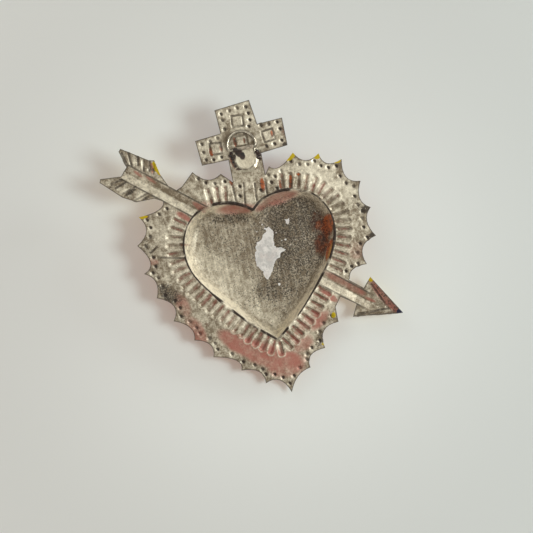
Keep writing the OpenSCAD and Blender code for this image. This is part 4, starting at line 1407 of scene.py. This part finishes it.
# outlines in the reference view
tornEdge = [
    [269, 226.3], [272.3, 229.5], [273.8, 234.4], [273.8, 241], [274.1, 245], [276.3, 247.6], [281.9, 247.3],
    [286, 249.4], [284.4, 251.3], [280.6, 253.2], [280.2, 257.5], [277, 258.8], [275, 262.5], [274, 266],
    [273.1, 268.8], [271.9, 272.5], [270.3, 276.3], [268.1, 280.2], [265.6, 278.1], [263.5, 274.4],
    [263.6, 271.3], [260, 268.8], [256.4, 266.3], [255.3, 260], [254.8, 255], [255.6, 246.3], [256.6, 242.3],
    [261.3, 240], [262.5, 235], [266.3, 231.3], [265.4, 228.3]]
fleckEdges = [[[284.6, 218.8], [289.7, 217.4], [289.5, 221], [288.2, 224.2], [286, 222.6]]]
# small flecks, [x, y in the reference view, radius in millimetres]
fleckSpots = [[279.5, 284.3, .55], [262, 224.3, .35], [265, 228.1, .4], [256.6, 231.4, .28],
              [276.2, 232.4, .28], [285.7, 239.4, .4], [282, 240.2, .26], [295.7, 239.6, .24],
              [291, 244.5, .2], [259.5, 222, .22]]


def rough(line, amount, rounds, seed):
    # breaks each side of a closed line at random, so that it looks torn
    draw = np.random.default_rng(seed)
    line = [np.array(p, float) for p in line]
    for k in range(rounds):
        made = []
        for a, b in closed(line):
            side = b - a
            made += [a, (a + b) / 2 + np.array([-side[1], side[0]]) * draw.uniform(-amount, amount)]
        line = made
    return line


def paperPiece(name, shapes, material):
    coords, edges, faces = [], [], []
    for shape in shapes:
        first = len(coords)
        coords += [Vector(p) for p in shape]
        loop = list(range(first, len(coords)))
        edges += list(zip(loop, loop[1:] + loop[:1]))
        faces.append(loop)
    low, high = np.min([tuple(c) for c in coords], axis=0), np.max([tuple(c) for c in coords], axis=0)
    xs, zs = np.meshgrid(*[np.arange(a, b, paper["spacing"]) for a, b in zip(low, high)])
    grid = np.column_stack([xs.ravel(), zs.ravel()])
    for shape in shapes:
        within = grid[inside(grid, shape)]
        coords += [Vector(p) for p in within[toSegments(within, closed(shape)) > paper["edgeRoom"]]]
    verts, _, triangles, *_ = delaunay_2d_cdt(coords, edges, faces, 1, 1e-4)
    top = sheetHigh.y / mm - sheet["thickness"] - paper["lift"] - paper["thickness"]
    made = []
    for v in verts:
        relief = paper["relief"] * (wave(v.x, v.y, 0, 1.4, 3) + .6 * wave(v.x, v.y, 0, .6, 5))
        made.append((v.x * mm, (top + relief) * mm, v.y * mm))
    obj = makeObject(name, made, (), triangles)
    near = toSegments(np.array([tuple(v) for v in verts]), [side for s in shapes for side in closed(s)])
    store(obj, "edge", np.clip(1 - near / .5, 0, 1))
    shell = obj.modifiers.new("thickness", "SOLIDIFY")
    shell.thickness, shell.offset = paper["thickness"] * mm, -1
    obj.data.materials.append(material)
    return bake(obj, 60)


paperLook = {"dull": (.68, .68, .66), "white": (.97, .96, .93), "warm": (.80, .73, .69),
             "fibre": (.46, .46, .45), "tear": (.9, .9, .9)}


def paperMaterial():
    material, tree, place = newMaterial("tornPaper")
    look = paperLook
    broad, fine = noiseAt(tree, place, 320, 4, .65), noiseAt(tree, place, 1400, 3, .7)
    colour = blend(tree, ramp(tree, broad, .38, .62), look["dull"], look["white"])
    warm = times(tree, ramp(tree, noiseAt(tree, place, 240, 2), .5, .7), .4)
    colour = blend(tree, warm, colour, look["warm"])
    colour = blend(tree, times(tree, ramp(tree, fine, .54, .68), .6), colour, look["fibre"])
    torn = times(tree, layerOf(tree, "edge"), ramp(tree, fine, .4, .6))
    colour = blend(tree, torn, colour, look["tear"])
    height = plus(tree, times(tree, broad, .7), times(tree, fine, .3))
    finishMaterial(tree, colour, 0, .85, height, .00016, .8)
    return material


def placePaper():
    white = paperMaterial()
    scrap = rough([seen(*p) for p in tornEdge], .16, 3, paper["seed"])
    flecks = [rough([seen(*p) for p in edge], .2, 2, 3 + i) for i, edge in enumerate(fleckEdges)]
    draw = np.random.default_rng(paper["seed"])
    for x, y, radius in fleckSpots:
        centre = seen(x, y)
        flecks.append([centre + at(-a) * radius * draw.uniform(.6, 1.25) for a in range(0, 360, 45)])
    for name, shapes, node in (("paperScrap", [scrap], "paper_remnant"),
                               ("paperFlecks", flecks, "paper_flecks")):
        obj = paperPiece(name, shapes, white)
        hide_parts(node)
        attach(obj, "ornament")


placePaper()
print("paper done")

# directions and the middle of the image, in the frame
imageRight = Vector((math.cos(roll), 0, -math.sin(roll)))
imageUp = Vector((math.sin(roll), 0, math.cos(roll)))
toViewer = Vector((0, -1, 0))
middle = Vector((view["centre"][0] * mm, backY, view["centre"][1] * mm))


def makeCamera():
    data = bpy.data.cameras.new("camera")
    data.lens = data.sensor_width * view["distance"] / (view["frame"] / view["pixelsPerMm"] * mm)
    camera = bpy.data.objects.new("camera", data)
    turned = Matrix((imageRight, imageUp, toViewer)).transposed().to_4x4()
    camera.matrix_world = Matrix.Translation(middle + toViewer * view["distance"]) @ turned
    scene.collection.objects.link(camera)
    scene.camera = camera


makeCamera()
# the table, which the ornament leans on with its domed front and its lower tip
stage = {"slope": .13, "touches": -66, "radius": .27, "fadeStart": .17, "sides": 96, "gap": .0001,
         "colour": (.81, .925, .92), "pale": (.83, .61, .56), "share": .19, "level": .985, "edge": .08,
         "lean": .72, "paintedLightNear": .055}


def seenDirectly(tree):
    # by the camera, or mirrored in metal or through glass
    path = add(tree, "ShaderNodeLightPath").outputs
    mirrored = most(tree, path["Is Glossy Ray"], path["Is Transmission Ray"])
    return most(tree, path["Is Camera Ray"], mirrored)


def tableTone(tree, place, foot):
    # painted light and shade: the table darkens a little outwards and to the right, and is painted a little
    # lighter close to the object
    away = add(tree, "ShaderNodeVectorMath", {0: place, 1: foot}, operation="DISTANCE").outputs["Value"]
    offset = add(tree, "ShaderNodeVectorMath", {0: place, 1: foot}, operation="SUBTRACT").outputs[0]
    side = add(tree, "ShaderNodeVectorMath", {0: offset, 1: imageRight},
               operation="DOT_PRODUCT").outputs["Value"]
    darker = times(tree, ramp(tree, away, .06, .13), stage["edge"])
    tone = minus(tree, stage["level"], darker)
    tone = plus(tree, tone, times(tree, ramp(tree, away, .095, .045), stage["paintedLightNear"]))
    lean = minus(tree, 1, times(tree, side, stage["lean"]))
    return away, times(tree, tone, lean)


def tableMaterial(foot):
    material, tree, place = newMaterial("paleTable")
    away, tone = tableTone(tree, place, foot)
    matt, pale = scaled(tree, stage["colour"], tone), scaled(tree, stage["pale"], tone)
    paint = add(tree, "ShaderNodeBsdfDiffuse", {"Color": matt}).outputs[0]
    # part of the table's tone does not take shadow
    plain = add(tree, "ShaderNodeEmission", {"Color": pale, "Strength": 1}).outputs[0]
    share = times(tree, seenDirectly(tree), stage["share"])
    paint = add(tree, "ShaderNodeMixShader", {0: share, 1: paint, 2: plain}).outputs[0]
    # it fades out at its rim, and from behind it is clear
    fade = add(tree, "ShaderNodeMapRange", {"Value": away, "From Min": stage["fadeStart"],
               "From Max": stage["radius"] * .98}).outputs[0]
    gone = most(tree, fade, add(tree, "ShaderNodeNewGeometry").outputs["Backfacing"])
    clear = add(tree, "ShaderNodeBsdfTransparent").outputs[0]
    mixed = add(tree, "ShaderNodeMixShader", {0: gone, 1: paint, 2: clear}).outputs[0]
    add(tree, "ShaderNodeOutputMaterial", {"Surface": mixed})
    return material


def makeStage():
    sides, radius = stage["sides"], stage["radius"]
    normal = Vector((0, -1, stage["slope"])).normalized()
    fall = stage["slope"] * (middle.z - stage["touches"] * mm)
    foot = Vector((middle.x, sheetHigh.y + stage["gap"] + fall, middle.z))
    right = Vector((1, 0, 0))
    up = normal.cross(right)
    turns = [2 * math.pi * k / sides for k in range(sides)]
    verts = [foot] + [foot + (right * math.cos(a) + up * math.sin(a)) * radius for a in turns]
    table = makeObject("table", verts, (), [(0, 1 + k, 1 + (k + 1) % sides) for k in range(sides)])
    if table.data.polygons[0].normal.y > 0:
        table.data.flip_normals()
    table.visible_shadow = table.visible_diffuse = table.visible_glossy = False
    table.data.materials.append(tableMaterial(foot))


makeStage()
print("table done")

# places are in image directions from the middle: right, up and towards the viewer, in metres
lamps = {
    "window": {"place": (.40, .02, .5), "size": .25, "power": 1.8, "colour": (.94, 1, .99)},
    "lowSide": {"place": (1.3, .65, .22), "size": .6, "power": 12, "colour": (.97, 1, .97)},
    "lowBounce": {"place": (-.7, -1, .3), "size": .7, "power": 2.4, "colour": (1, .96, .9)},
    "ceiling": {"place": (-.45, .6, .35), "size": .5, "power": .8, "colour": (.98, 1, .97)},
    "frontFill": {"place": (.25, .3, -.6), "size": .4, "power": 1.6, "colour": (1, .98, .96)},
}
world = {"fill": (.30, .25, .21), "shown": (.60, .61, .585)}


def makeLamps():
    for name, lamp in lamps.items():
        data = bpy.data.lights.new(name, "AREA")
        data.shape, data.size = "DISK", lamp["size"]
        data.energy, data.color = lamp["power"], lamp["colour"]
        obj = bpy.data.objects.new(name, data)
        right, up, near = lamp["place"]
        obj.location = middle + imageRight * right + imageUp * up + toViewer * near
        obj.rotation_euler = (obj.location - middle).to_track_quat("Z", "Y").to_euler()
        scene.collection.objects.link(obj)


def makeWorld():
    made = bpy.data.worlds.new("paleRoom")
    made.use_nodes = True
    tree = made.node_tree
    tree.nodes.clear()
    colour = blend(tree, seenDirectly(tree), world["fill"], world["shown"])
    shown = add(tree, "ShaderNodeBackground", {"Color": colour, "Strength": 1}).outputs[0]
    add(tree, "ShaderNodeOutputWorld", {"Surface": shown})
    scene.world = made


makeLamps()
makeWorld()
scene.view_settings.view_transform = "Standard"
